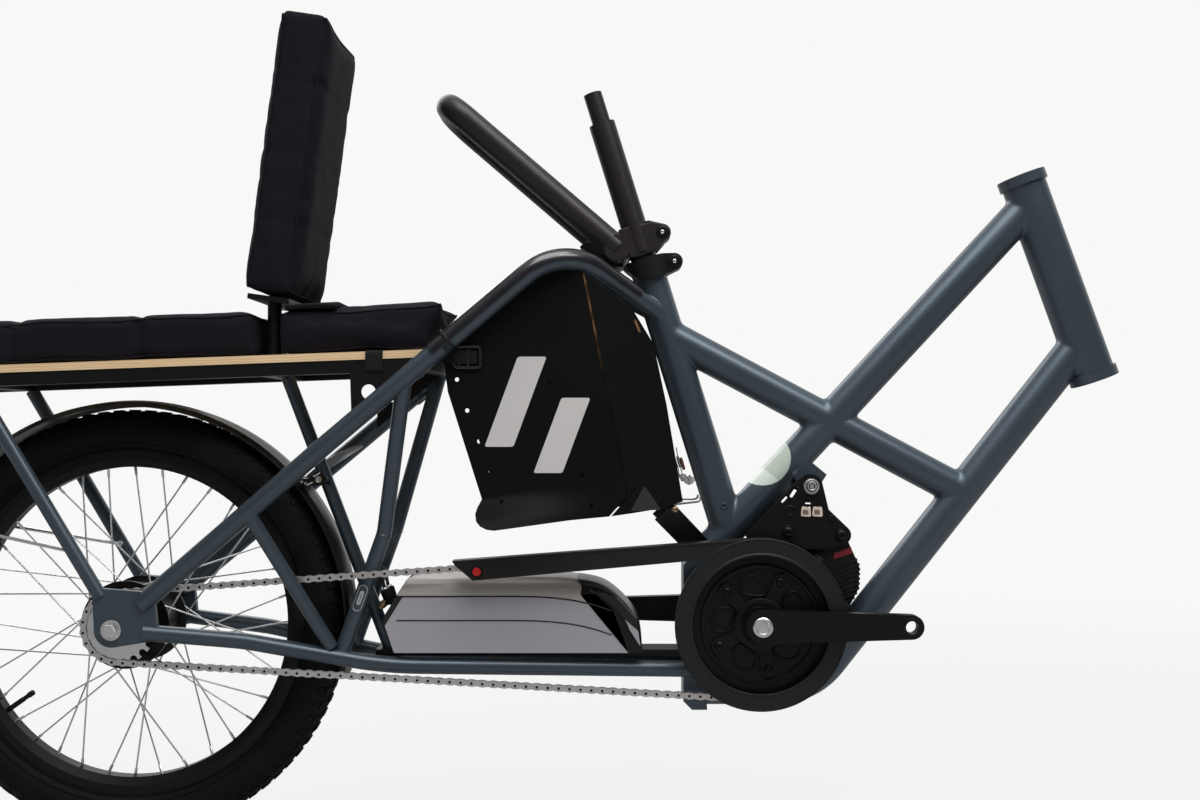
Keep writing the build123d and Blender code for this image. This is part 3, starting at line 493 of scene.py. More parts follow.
FLOOR_GLOW, FLOOR_GAP = 0.90, 0.4  # share of the backdrop's glow under the bike; millimetres below the tread
BACKDROP, ROOM_WHITE = (0.94, 0.94, 0.935), (1.0, 0.995, 0.985)


# ------------------------ mesh helpers
def new_object(name, mesh, finish=None):
    """Turns a bmesh into an object at the origin."""
    data = bpy.data.meshes.new(name)
    mesh.to_mesh(data)
    mesh.free()
    data.polygons.foreach_set("use_smooth", [True] * len(data.polygons))
    made = bpy.data.objects.new(name, data)
    bpy.context.scene.collection.objects.link(made)
    if finish:
        data.materials.append(finish)
    return made


def piece(name, mesh, finish, body="frame", bevel=0.0, crisp=35):
    """A finished piece that rides a body: sharp edges are marked, or rounded by `bevel` millimetres."""
    made = new_object(name, mesh, finish)
    for edge in made.data.edges:
        edge.use_edge_sharp = False
    made.data.set_sharp_from_angle(angle=radians(crisp))
    if bevel:
        rounding = made.modifiers.new("edges", "BEVEL")
        rounding.width = bevel * MM
        rounding.segments = 2
        rounding.limit_method = "ANGLE"
        rounding.angle_limit = radians(crisp)
        rounding.harden_normals = True
    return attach(made, body)


def placed(place, axis):
    """The matrix that puts a shape drawn round z at a point, in metres, with z along an axis."""
    axis = Vector(axis).normalized()
    turn = axis.to_track_quat("Z", "X" if abs(axis.x) < 0.9 else "Y")
    return Matrix.Translation(place) @ turn.to_matrix().to_4x4()


def faced_out(mesh):
    """The mesh with the front of every face outward."""
    bmesh.ops.recalc_face_normals(mesh, faces=mesh.faces)
    return mesh


def round_off(mesh, edges, r, steps):
    """Rounds some edges by `r` millimetres."""
    bmesh.ops.bevel(mesh, geom=edges, offset=r * MM, segments=steps, profile=0.5, affect="EDGES", material=-1)


def lathe(mesh, profile, place, axis, steps=24):
    """Spins a profile of (radius, height) in millimetres round an axis."""
    corners = [mesh.verts.new((r * MM, 0, h * MM)) for r, h in profile]
    edges = [mesh.edges.new(pair) for pair in zip(corners, corners[1:])]
    made = bmesh.ops.spin(mesh, geom=corners + edges, cent=(0, 0, 0), axis=(0, 0, 1), angle=2 * pi,
                          steps=steps, use_merge=True)
    fresh = {v for v in made["geom_last"] if isinstance(v, bmesh.types.BMVert)} | set(corners)
    reach = set(fresh)
    while fresh:                             # everything joined to the profile is this shape
        fresh = {other for v in fresh for e in v.link_edges for other in e.verts if other not in reach}
        reach |= fresh
    verts = list(reach)
    bmesh.ops.remove_doubles(mesh, verts=verts, dist=1e-6)
    verts = [v for v in verts if v.is_valid]
    bmesh.ops.recalc_face_normals(mesh, faces=list({f for v in verts for f in v.link_faces}))
    bmesh.ops.transform(mesh, matrix=placed(place, axis), verts=verts)


def button(r, h, socket=0.38):
    """Half-section of a button-head screw with its socket."""
    return [(r, -0.4), (r, 0.25 * h), (0.90 * r, 0.62 * h), (0.66 * r, 0.93 * h), (socket * r * 1.15, h),
            (socket * r, 0.95 * h), (socket * r, 0.35 * h), (0, 0.35 * h)]


def washer(r, hole, t):
    """Half-section of a washer."""
    return [(hole, -0.2), (r, -0.2), (r, t * 0.7), (r - 0.3, t), (hole, t), (hole, -0.2)]


def hexagon(mesh, place, axis, across, height, chamfer):
    """A nut or hex head, its upper corners chamfered."""
    r = across / 2 / cos(pi / 6) * MM
    made = bmesh.ops.create_cone(mesh, cap_ends=True, segments=6, radius1=r, radius2=r, depth=height * MM,
                                 matrix=placed(place, axis) @ Matrix.Translation((0, 0, height / 2 * MM)))
    caps = {e for v in made["verts"] for f in v.link_faces if len(f.verts) == 6 for e in f.edges}
    round_off(mesh, list(caps), chamfer, 1)


def smooth_path(points, step=4.0, closed=False):
    """Points at most `step` millimetres apart, straight across, on a curve through the given ones."""
    points = [Vector(p) for p in points]
    count = len(points)
    done = []
    for k in range(count if closed else count - 1):
        if closed:
            a, b, c, d = (points[(k + j - 1) % count] for j in range(4))
        else:
            a, b, c, d = points[max(k - 1, 0)], points[k], points[k + 1], points[min(k + 2, count - 1)]
        parts = max(1, ceil((c - b).length / step))
        for j in range(parts):
            t = j / parts
            done.append(0.5 * (2 * b + (c - a) * t + (2 * a - 5 * b + 4 * c - d) * t**2
                               + (3 * b - a - 3 * c + d) * t**3))
    if not closed:
        done.append(points[-1])
    return done


def sweep(mesh, path, section, closed=False, up=(0, 1, 0.001), grow=None):
    """Carries a closed section of (across, up) millimetres along a path of millimetre points.

    `grow` gives the section's scale from the share of the path gone through.
    """
    rings = []
    count = len(path)
    side = Vector(up)
    for k, point in enumerate(path):
        if closed:
            run = path[(k + 1) % count] - path[k - 1]
        else:
            run = path[min(k + 1, count - 1)] - path[max(k - 1, 0)]
        run = run.normalized()
        side = (side - run * side.dot(run)).normalized()
        other = run.cross(side)
        scale = grow(k / max(count - 1, 1)) if grow else 1.0
        ring = [mesh.verts.new(at(*(point + (other * a + side * b) * scale))) for a, b in section]
        rings.append([mesh.edges.new((ring[j - 1], ring[j])) for j in range(len(ring))])
    pairs = list(zip(rings, rings[1:])) + ([(rings[-1], rings[0])] if closed else [])
    for a, b in pairs:
        bmesh.ops.bridge_loops(mesh, edges=a + b)
    if not closed:
        for ring in (rings[0], rings[-1]):
            bmesh.ops.edgeloop_fill(mesh, edges=ring)


def disc(r, sides):
    """A round section."""
    return [(r * cos(2 * pi * k / sides), r * sin(2 * pi * k / sides)) for k in range(sides)]


def flat(width, thick):
    """A rectangular section."""
    w, t = width / 2, thick / 2
    return [(-w, -t), (w, -t), (w, t), (-w, t)]


def slab(mesh, points, depth):
    """A slab with one face through the points, in metres, and the other `depth` millimetres to the left."""
    corners = [mesh.verts.new(p) for p in points]
    made = bmesh.ops.extrude_face_region(mesh, geom=[mesh.faces.new(corners)])
    far = [v for v in made["geom"] if isinstance(v, bmesh.types.BMVert)]
    bmesh.ops.translate(mesh, vec=(0, depth * MM, 0), verts=far)
    bmesh.ops.recalc_face_normals(mesh, faces=list({f for v in corners + far for f in v.link_faces}))


def plate(mesh, outline, y, thick):
    """A flat plate from its outline of (x, z) millimetres, from y to y + thick."""
    slab(mesh, [at(x, y, z) for x, z in outline], thick)


def on_side(side, points):
    """Points given for the right side, on this side."""
    return [Vector((x, y * -side, z)) for x, y, z in points]


def bead(mesh, points, r, sides=8, step=None):
    """A round bead or wire along millimetre points, on a curve through them where there is a step."""
    sweep(mesh, smooth_path(points, step) if step else [Vector(p) for p in points], disc(r, sides))


# ------------------------ welds
WELD_STEP = 2.2                    # between a weld's rings


def fillet_round(mesh, branch, trunk, wide, mirror=False):
    """A smooth weld where a round tube, running along its direction, first meets a round trunk.

    Each ring is a curve from a point on the branch to one on the trunk, closed by a point under the skin.
    """
    base, run, r = Vector(branch[0]), Vector(branch[1]).normalized(), branch[2]
    centre, along, big = Vector(trunk[0]), Vector(trunk[1]).normalized(), trunk[2]
    u = run.orthogonal().normalized()
    v = run.cross(u)
    count = int(2 * pi * r * 1.3 / WELD_STEP)        # 1.3: a slanting cut is longer than the tube's girth
    rings = []
    for k in range(count):
        a = 2 * pi * k / count
        outward = u * cos(a) + v * sin(a)
        start = base + outward * r - centre
        flat_start, flat_run = start - along * start.dot(along), run - along * run.dot(along)
        qa, qb, qc = flat_run.dot(flat_run), 2 * flat_start.dot(flat_run), flat_start.dot(flat_start) - big**2
        corner = centre + start + run * ((-qb - sqrt(max(qb * qb - 4 * qa * qc, 0))) / 2 / qa)
        normal = (corner - centre) - along * (corner - centre).dot(along)
        normal.normalize()
        down = (outward - normal * outward.dot(normal)).normalized() - run * 0.35
        down = (down - normal * down.dot(normal)).normalized()
        grown = wide * (1 + 0.05 * sin(k * 1.7))
        first, last = corner - run * grown, corner + down * grown - centre
        last = centre + along * last.dot(along) + (last - along * last.dot(along)).normalized() * big
        ring = []
        for j in range(7):
            t = j / 6
            ring.append(first * (1 - t) ** 2 + corner * (2 * t * (1 - t)) + last * t**2)
        ring.append(corner - normal * 1.5 - outward * 1.5)
        rings.append([mesh.verts.new(at(*p)) for p in on_side(1 if mirror else -1, ring)])
    for one, two in zip(rings, rings[1:] + rings[:1]):
        for j in range(8):
            mesh.faces.new((one[j - 1], one[j], two[j], two[j - 1]))


def welds():
    """Beads where the tubes, rails and struts meet."""
    mesh = bmesh.new()
    across = Vector(CROSS_BEAM[1])
    for branch, trunk in ((((-159, 0, 511), -Vector(SEAT_DIR), 20.5), MAIN_BEAM),
                          (((-105, 0, 339.1), across, 20.0), MAIN_BEAM),
                          (((252, 0, 149.3), -across, 20.0), MAIN_BEAM),
                          (((60, 0, 251.4), -across, 20.0), SEAT_TUBE),
                          (((60, 0, 251.4), across, 20.0), LOWER_BEAM),
                          (((200, 0, 356.8), MAIN_BEAM[1], 20.5), HEAD_TUBE),
                          (((300, 0, 215.4), LOWER_BEAM[1], 21.0), HEAD_TUBE)):
        fillet_round(mesh, branch, trunk, 5.0)
    rail = (RAIL_CORNER, Vector(RAIL_START) - Vector(RAIL_CORNER), RAIL_R)
    rail_run = (RAIL_CORNER, Vector(RAIL_KNEE) - Vector(RAIL_CORNER), RAIL_R)
    knee_run = (RAIL_KNEE, Vector((AXLE_X + 34, -72, AXLE_Z + 30)) - Vector(RAIL_KNEE), RAIL_R)
    foot, low = Vector((-440, -40.5, 104)), Vector((-501, -46.5, -29))
    for mirror in (False, True):
        top = Vector((-407.5, -96.0, 285.0)) if mirror else Vector((-393.0, -96.2, 297.2))
        fillet_round(mesh, rail, SEAT_TUBE, 4.0, mirror)
        fillet_round(mesh, (foot, top - foot, 9.0), rail_run, 3.0, mirror)
        fillet_round(mesh, (low, Vector((-587, -89, 131)) - low, 8.0), knee_run, 3.0, mirror)
    piece("weld_beads", faced_out(mesh), PAINT, crisp=100)


# ------------------------ chain
def pin_places():
    """The (x, z) place of every chain pin, from the two sprockets, upper run first."""
    centres = sqrt(AXLE_X**2 + AXLE_Z**2)
    lean = asin((RING_R - COG_R) / centres)
    run = sqrt(centres**2 - (RING_R - COG_R) ** 2)
    back = Vector((AXLE_X, AXLE_Z)) / centres
    up = Vector((back.y, -back.x))
    if up.y < 0:
        up = -up
    upper, lower = back * sin(lean) + up * cos(lean), back * sin(lean) - up * cos(lean)
    axle = back * centres
    n_run, n_cog = run / PITCH, (pi - 2 * lean) * COG_TEETH / 2 / pi
    links = round(2 * n_run + n_cog + (pi + 2 * lean) * RING_TEETH / 2 / pi)
    places = []
    for k in range(links):
        if k < n_run:
            place = upper * RING_R + (axle + upper * COG_R - upper * RING_R) * (k / n_run)
        elif k < n_run + n_cog:
            place = axle + Matrix.Rotation((k - n_run) * 2 * pi / COG_TEETH, 2) @ (upper * COG_R)
        elif k < 2 * n_run + n_cog:
            share = (k - n_run - n_cog) / n_run
            place = axle + lower * COG_R + (lower * RING_R - axle - lower * COG_R) * share
        else:
            place = Matrix.Rotation((k - 2 * n_run - n_cog) * 2 * pi / RING_TEETH, 2) @ (lower * RING_R)
        places.append(place)
    return places


def link_outline(a, b, r, waist):
    """The figure-of-eight outline of a chain plate between two pins."""
    run = (b - a).normalized()
    side = Vector((-run.y, run.x))
    half = (b - a) / 2
    points = []
    for end, sign in ((a, 1), (b, -1)):
        for k in range(-3, 4):
            turn = radians(90 + sign * 90) + k * radians(36)
            points.append(end + (run * cos(turn) + side * sin(turn)) * r)
        points.append(a + half - side * (waist * sign))
    return points


def meets_teeth(pin):
    """Whether a sprocket's teeth turn through the gap between the plates at this pin."""
    axle = Vector((AXLE_X, AXLE_Z))
    return pin.length < RING_R + TOOTH_REACH or (pin - axle).length < COG_R + TOOTH_REACH


def chain():
    """Links, rollers and pins. Where teeth turn past the fixed chain, the gap between the plates is open."""
    pins = pin_places()
    plates, rollers, ends = bmesh.new(), bmesh.new(), bmesh.new()
    plate_t, waist, pin_tip = 0.9, 2.9, [(1.65, 3.5), (1.2, 3.9), (0, 3.9)]
    for k, pin in enumerate(pins):
        offset, r = (2.75, 4.15) if k % 2 else (1.75, 4.35)          # outer and inner links
        outline = link_outline(pin, pins[(k + 1) % len(pins)], r, waist)
        centre, open_gap = at(pin.x, CHAIN_Y, pin.y), meets_teeth(pin)
        for side in SIDES:
            plate(plates, outline, CHAIN_Y + side * offset - plate_t / 2, plate_t)
            if open_gap:
                lathe(ends, [(0, 1.4), (1.65, 1.4)] + pin_tip, centre, (0, side, 0), 9)
        if not open_gap:
            lathe(rollers, [(1.6, -3.0), (3.85, -1.0), (3.85, 1.0), (1.6, 3.0)], centre, LEFT, 10)
            lathe(ends, [(0, -3.9), (1.2, -3.9), (1.65, -3.5)] + pin_tip, centre, LEFT, 9)
    links = piece("chain_links", plates, CHAIN_STEEL)
    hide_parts("chain")
    piece("chain_rollers", rollers, CHAIN_STEEL)
    piece("chain_pins", ends, BLACK_STEEL)


# ------------------------ wheel
def around_axle(angle):
    """A turn about the rear axle."""
    return Matrix.Translation(AXLE) @ Matrix.Rotation(angle, 4, "Y") @ Matrix.Translation(-AXLE)


def wheel_point(r, angle, y=0):
    """A point of the rear wheel in millimetres from the cranks, by its radius and angle from ahead."""
    return Vector((AXLE_X + r * cos(angle), y, AXLE_Z + r * sin(angle)))


def tread():
    """Five rows of low blocks round the tyre, and two fine ribs on each wall."""
    mesh = bmesh.new()
    hoop_r, section_r, blocks = 228.0, 25.0, 84
    for lean, wide, deep, skew in ((0, 13, 10.5, 0.0), (31, 9.5, 11.5, 0.25), (-31, 9.5, 11.5, -0.25),
                                   (54, 6.5, 6.5, 0.0), (-54, 6.5, 6.5, 0.0)):
        a = radians(lean)
        place = AXLE + Vector((0, sin(a) * section_r, hoop_r + cos(a) * section_r)) * MM
        size = Matrix.Diagonal((deep * MM, wide * MM, TREAD_DEPTH * 2 * MM, 1))
        for k in range(blocks):
            turn = 2 * pi * (k + (0.5 if lean else 0)) / blocks
            matrix = (around_axle(turn) @ Matrix.Translation(place) @ Matrix.Rotation(-a, 4, "X")
                      @ Matrix.Rotation(skew, 4, "Z") @ size)
            bmesh.ops.create_cube(mesh, size=1.0, matrix=matrix)
    piece("tread_blocks", mesh, RUBBER, body="rear_wheel", bevel=0.5)
    mesh = bmesh.new()
    for side in SIDES:
        for r, height in ((214.0, 21.6), (207.5, 15.9)):
            low, high = side * (height - 1.0), side * (height + 0.5)
            lathe(mesh, [(r - 1.2, low), (r - 0.6, high), (r + 0.6, high), (r + 1.2, low)], AXLE, LEFT, 96)
    piece("tyre_ribs", mesh, RUBBER, body="rear_wheel")


def wheel_details():
    """The spokes' nipples, the valve and the axle's nuts."""
    mesh = bmesh.new()
    spokes = 36
    for k in range(spokes):
        a = radians(k * 360 / spokes)
        lead = radians(36) * (1 if (k // 2) % 2 else -1)
        rim_end = wheel_point(187, a)
        run = (wheel_point(51, a + lead, -31 if k % 2 else 31) - rim_end).normalized()
        lathe(mesh, [(0, 0), (2.3, 0), (2.3, 2.0), (1.7, 2.6), (1.7, 12.5), (1.3, 13.5), (0, 13.5)],
              at(*(rim_end - run * 2)), run, 8)
    piece("spoke_nipples", mesh, STEEL, body="rear_wheel")
    mesh = bmesh.new()
    a = radians(215)
    stem = [(0, 0), (3.1, 0), (3.1, 24), (2.7, 24.5), (2.7, 31), (3.4, 31.3), (3.4, 38), (2.4, 39), (0, 39)]
    lathe(mesh, stem, at(*wheel_point(188, a)), (-cos(a), 0, -sin(a)), 14)
    piece("tyre_valve", mesh, BLACK_ALLOY, body="rear_wheel")
    mesh = bmesh.new()
    for side in SIDES:
        lathe(mesh, washer(12, 6.1, 1.8), at(AXLE_X, side * 76.2, AXLE_Z), (0, side, 0))
        hexagon(mesh, at(AXLE_X, side * 77.6, AXLE_Z), (0, side, 0), 15, 8, 0.8)
    piece("axle_nuts", mesh, STEEL)


# ------------------------ padded pieces
PAD_VOXEL, PAD_PRESSURE, PAD_FRAMES = 4.5, 4.0, 20       # the cloth's grid, and how hard and long it is blown
PAD_LUMPS, WELT_R = 0.6, 1.2


def evaluated(made):
    """The object's mesh with its modifiers applied."""
    graph = bpy.context.evaluated_depsgraph_get()
    graph.update()
    return bpy.data.meshes.new_from_object(made.evaluated_get(graph))


def pad_blank(outline, half_width, rounding, place):
    """A closed blank from its side outline of (ahead, up) millimetres, its edges rounded."""
    mesh = bmesh.new()
    slab(mesh, [(x * MM, -half_width * MM, z * MM) for x, z in outline], 2 * half_width)
    round_off(mesh, mesh.edges[:], rounding, 3)
    mesh.transform(place)
    return new_object("pad_blank", mesh)


def filled(blank, place, reach):
    """The blank blown up by cloth simulation; `reach` limits the way it goes along each of the pad's axes."""
    even = blank.modifiers.new("even_quads", "REMESH")
    even.mode = "VOXEL"
    even.voxel_size = PAD_VOXEL * MM
    start = evaluated(blank)
    bpy.data.objects.remove(blank)
    shell = bpy.data.objects.new("pad_shell", start)
    bpy.context.scene.collection.objects.link(shell)
    cloth = shell.modifiers.new("filling", "CLOTH")
    cloth.settings.use_pressure = True
    cloth.settings.uniform_pressure_force = PAD_PRESSURE
    cloth.settings.effector_weights.gravity = 0
    cloth.point_cache.frame_end = PAD_FRAMES
    for number in range(1, PAD_FRAMES + 1):
        bpy.context.scene.frame_set(number)
    blown = evaluated(shell)
    shell.modifiers.remove(cloth)
    turn = place.to_3x3()
    back = turn.transposed()
    for vertex, moved in zip(start.vertices, blown.vertices):
        step = back @ (moved.co - vertex.co) / MM
        step = Vector(limit * tanh(s / limit) for s, limit in zip(step, reach))
        vertex.co += turn @ step * MM
    bpy.data.meshes.remove(blown)
    bpy.context.scene.frame_set(1)
    return shell


def sewn(shell, place, channels):
    """Presses in sewn channels, each (axis, place, depth, width) in millimetres, and faint unevenness."""
    back = place.inverted()
    data = shell.data
    normals = [v.normal.copy() for v in data.vertices]
    for vertex, normal in zip(data.vertices, normals):
        local = back @ vertex.co / MM
        press = sum(depth * exp(-((local[axis] - where) / width) ** 2)
                    for axis, where, depth, width in channels)
        press += PAD_LUMPS * noise.noise(vertex.co * 28) + PAD_LUMPS * 0.5 * noise.noise(vertex.co * 70)
        vertex.co -= normal * press * MM


def loop_round(x0, x1, y0, y1, r, height):
    """A rounded rectangle at one height, each side divided every 8 millimetres."""
    points = []
    for cx, cy, first in ((x1 - r, y1 - r, 0), (x0 + r, y1 - r, 90), (x0 + r, y0 + r, 180),
                          (x1 - r, y0 + r, 270)):
        for k in range(8):
            a = radians(first + 90 * k / 7)
            points.append(Vector((cx + r * cos(a), cy + r * sin(a), height)))
    full = []
    for a, b in zip(points, points[1:] + points[:1]):
        parts = max(1, round((b - a).length / 8))
        full += [a + (b - a) * (k / parts) for k in range(parts)]
    return full


def edging(mesh, tree, place, loop):
    """A welt sewn round a pad: a loop drawn near its edge, laid on the nearest surface."""
    line = [tree.find_nearest(place @ (point * MM))[0] for point in loop]
    for _ in range(3):
        line = [(line[k - 1] + line[k] * 2 + line[(k + 1) % len(line)]) / 4 for k in range(len(line))]
    sweep(mesh, [(p - CRANK) / MM for p in line], disc(WELT_R, 6), closed=True)


def pad(name, node, place, outline, half_width, rounding, reach, channels, loops):
    """A filled and sewn pad with its welts, in place of a CAD node; gives its surface."""
    shell = filled(pad_blank(outline, half_width, rounding, place), place, reach)
    sewn(shell, place, channels)
    shell.name = shell.data.name = name
    shell.data.materials.clear()
    shell.data.materials.append(FABRIC)
    shell.data.polygons.foreach_set("use_smooth", [True] * len(shell.data.polygons))
    finer = shell.modifiers.new("finer", "SUBSURF")
    finer.levels = finer.render_levels = 1
    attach(shell, "frame")
    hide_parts(node)
    data = shell.data
    tree = BVHTree.FromPolygons([v.co for v in data.vertices], [p.vertices for p in data.polygons])
    mesh = bmesh.new()
    for loop in loops:
        edging(mesh, tree, place, loop)
    piece(name + "_welts", faced_out(mesh), FABRIC, crisp=80)
    return tree


def deck_place(x):
    """The axes of a pad on the deck at x: along the board, to the left, and up from its top."""
    return (Matrix.Translation(at(x, 0, deck_z(x))) @ Matrix.Rotation(-DECK_SLOPE, 4, "Y")
            @ Matrix.Translation((0, 0, PLY * MM)))


def upright(loop):
    """Turns a loop drawn in (left, up) with its height forward into one of the backrest's faces."""
    return [Vector((p.z, p.x, p.y)) for p in loop]


def seats():
    """The two cushions, the backrest and the tongue that runs from it over the front cushion."""
    front = pad("front_seat_pad", "front_cushion", deck_place(-458.5),
                ((-95, 2), (72, 2), (96, 53.5), (-95, 49.5)), 80, 4, (7, 2.0, 4.5), (),
                [loop_round(-98, 98, -82.5, 82.5, 8, 53), loop_round(-98, 75, -82.5, 82.5, 8, -3)])
    pad("rear_seat_pad", "rear_cushion", deck_place(-787.5),
        ((-208, 2), (208, 2), (208, 48), (-208, 48)), 80, 4, (3, 2.2, 5),
        ((0, -72, 3.5, 5.0), (0, 72, 3.5, 5.0)),
        [loop_round(-211, 211, -82.5, 82.5, 10, height) for height in (53, -3)])
    place = Matrix.Translation(at(-543.5, 0, 370)) @ Matrix.Rotation(radians(7.8), 4, "Y")
    pad("backrest_shell", "backrest_pad", place,
        ((-52, 9), (0, 9), (0, 336), (-52, 336)), 84, 5, (7, 3.0, 3.0),
        [(2, height, 0.7, 5.0) for height in (92, 172, 252)],
        [upright(loop_round(-87, 87, 6, 335, 10, face)) for face in (8, -60)])

    mesh = bmesh.new()
    bmesh.ops.create_grid(mesh, x_segments=10, y_segments=24, size=1.0)
    for v in mesh.verts:
        x, y = -518 + v.co.x * 29, v.co.y * 80
        hit = front.ray_cast(at(x, y * 0.86, 480), Vector((0, 0, -1)))[0]
        v.co = at(x, y, (hit.z - CRANK.z) / MM + 0.3 if hit else 362)
    bmesh.ops.smooth_vert(mesh, verts=mesh.verts, factor=0.5, use_axis_z=True)
    bmesh.ops.solidify(mesh, geom=mesh.faces[:], thickness=-5.0 * MM)
    tongue = piece("backrest_tongue", faced_out(mesh), FABRIC, bevel=1.2)


# ------------------------ leg guards
def surface(name):
    """The shown surface of a CAD node, to lay small pieces on."""
    node = NODES[name]
    return BVHTree.FromPolygons([node.matrix_world @ v.co for v in node.data.vertices],
                                [p.vertices for p in node.data.polygons])


def flat_on(tree, x, z, side, lift):
    """The point of the surface at (x, z) as seen from one side of the bike, raised by `lift` millimetres."""
    hit, normal = tree.ray_cast(at(x, side * 200, z), Vector((0, -side, 0)))[:2]
    if hit is None:
        return at(x, side * PANEL_OUT, z)
    if normal.y * side < 0:
        normal = -normal
    return hit + normal * lift * MM


def rounded_outline(corners, r, steps=4):
    """The outline with its corners rounded."""
    done = []
    for k in range(len(corners)):
        before, here, after = (Vector(corners[(k + j) % len(corners)]) for j in (-1, 0, 1))
        one, two = (before - here).normalized() * r, (after - here).normalized() * r
        done += [here + one * (1 - j / steps) ** 2 + two * (j / steps) ** 2 for j in range(steps + 1)]
    return done


def trace(tree, starts, way, lift):
    """Where rays from the starts meet a surface, `lift` millimetres short of it; all in millimetres."""
    hits = [tree.ray_cast(at(*start), Vector(way))[0] for start in starts]
    return [(hit - CRANK) / MM - Vector(way) * lift for hit in hits if hit]


def guard_details():
    """Two slanted bars on each guard, and the small folded corner at its lower front, made paler as a painted
    highlight on its facet.
    """
    mark, wedge = bmesh.new(), bmesh.new()
    for side in SIDES:
        for bar in (((-318, 206), (-285, 206), (-247, 309), (-280, 309)),
                    ((-262, 176), (-229, 176), (-197, 262), (-230, 262))):
            plate(mark, rounded_outline(bar, 3.0), -84.35 if side < 0 else 83.85, 0.5)
        tree = surface("side_panel_right" if side < 0 else "side_panel_left")
        corners = ((-163, 131.5, 0.1), (-135, 161, 0.2), (-116, 134, 1.6))
        outer = [flat_on(tree, x, z, side, lift) for x, z, lift in corners]
        inner = [flat_on(tree, x, z, side, -1.0) for x, z, lift in corners]
        rings = [[wedge.verts.new(p) for p in ring] for ring in (inner, outer)]
        edges = [[wedge.edges.new((ring[k - 1], ring[k])) for k in range(3)] for ring in rings]
        bmesh.ops.bridge_loops(wedge, edges=edges[0] + edges[1])
        for ring in edges:
            bmesh.ops.edgeloop_fill(wedge, edges=ring)
    piece("guard_bars", mark, MARK)
    # the folded corner is the leg guard's own black sheet; the paler chain guard plastic on it is a painted
    # highlight
    piece("guard_folds", faced_out(wedge), GUARD_PLASTIC)


# ------------------------ straps and the buckle
def straps():
    """Two straps round the deck's edges, one strap with its buckle on the right, and ties round the rails."""
    mesh = bmesh.new()
    for side in SIDES:
        path = [(-444, y, z) for y, z in ((-52, 316.1), (-70, 316.1), (-81, 316.0), (-84.8, 314.6),
                                          (-85.4, 311.5), (-84.9, 303), (-84.3, 293))]
        sweep(mesh, smooth_path(on_side(side, path), 2.0), flat(20, 1.3), up=(0, 0, 1))
    path = ((-398, -81, 313), (-376, -83.2, 311), (-360, -86.0, 309.4), (-349, -89.6, 308.6),
            (-340, -88.6, 308.4), (-331, -86.2, 308.4), (-326, -85.2, 308.4))
    sweep(mesh, smooth_path(path, 2.0), flat(1.3, 15.5), up=(0, 0, 1))
    piece("deck_straps", faced_out(mesh), WEBBING, bevel=0.4)

    mesh = bmesh.new()
    loop = rounded_outline(((-352.5, 296.5), (-322.5, 296.5), (-322.5, 320.5), (-352.5, 320.5)), 4.5)
    section = rounded_outline(flat(3.4, 3.8), 0.9, 2)
    sweep(mesh, [Vector((x, -86.4, z)) for x, z in loop], section, closed=True)
    for x in (-346.5, -336.5):
        bead(mesh, [(x, -86.8, 297), (x, -87.4, 308), (x, -86.8, 320)], 1.5, step=3)
    piece("strap_buckle", faced_out(mesh), GLOSS)

    mesh = bmesh.new()
    run = (Vector(RAIL_CORNER) - Vector(RAIL_KNEE)).normalized()
    for side in SIDES:
        along = Vector((run.x, run.y * -side, run.z))
        centre = Vector((-357.6, side * 96.8, 326.2)) + Vector((-along.z, 0, along.x)) * 1.3
        band = [(12.5, -1.9), (14.2, -1.9), (14.8, -1.2), (14.8, 1.2), (14.2, 1.9), (12.5, 1.9), (12.5, -1.9)]
        lathe(mesh, band, at(*centre), along, 28)
        head = centre + Vector((0, side * 10.5, -10.5))
        hexagon(mesh, at(*(head - along * 2.6)), along, 6.5, 5.2, 0.5)
    piece("rail_ties", mesh, PLASTIC)


# ------------------------ bolts
SPIDER_ARMS, SPIDER_START = 5, 64            # the chainring's arms, and the first one's angle in degrees


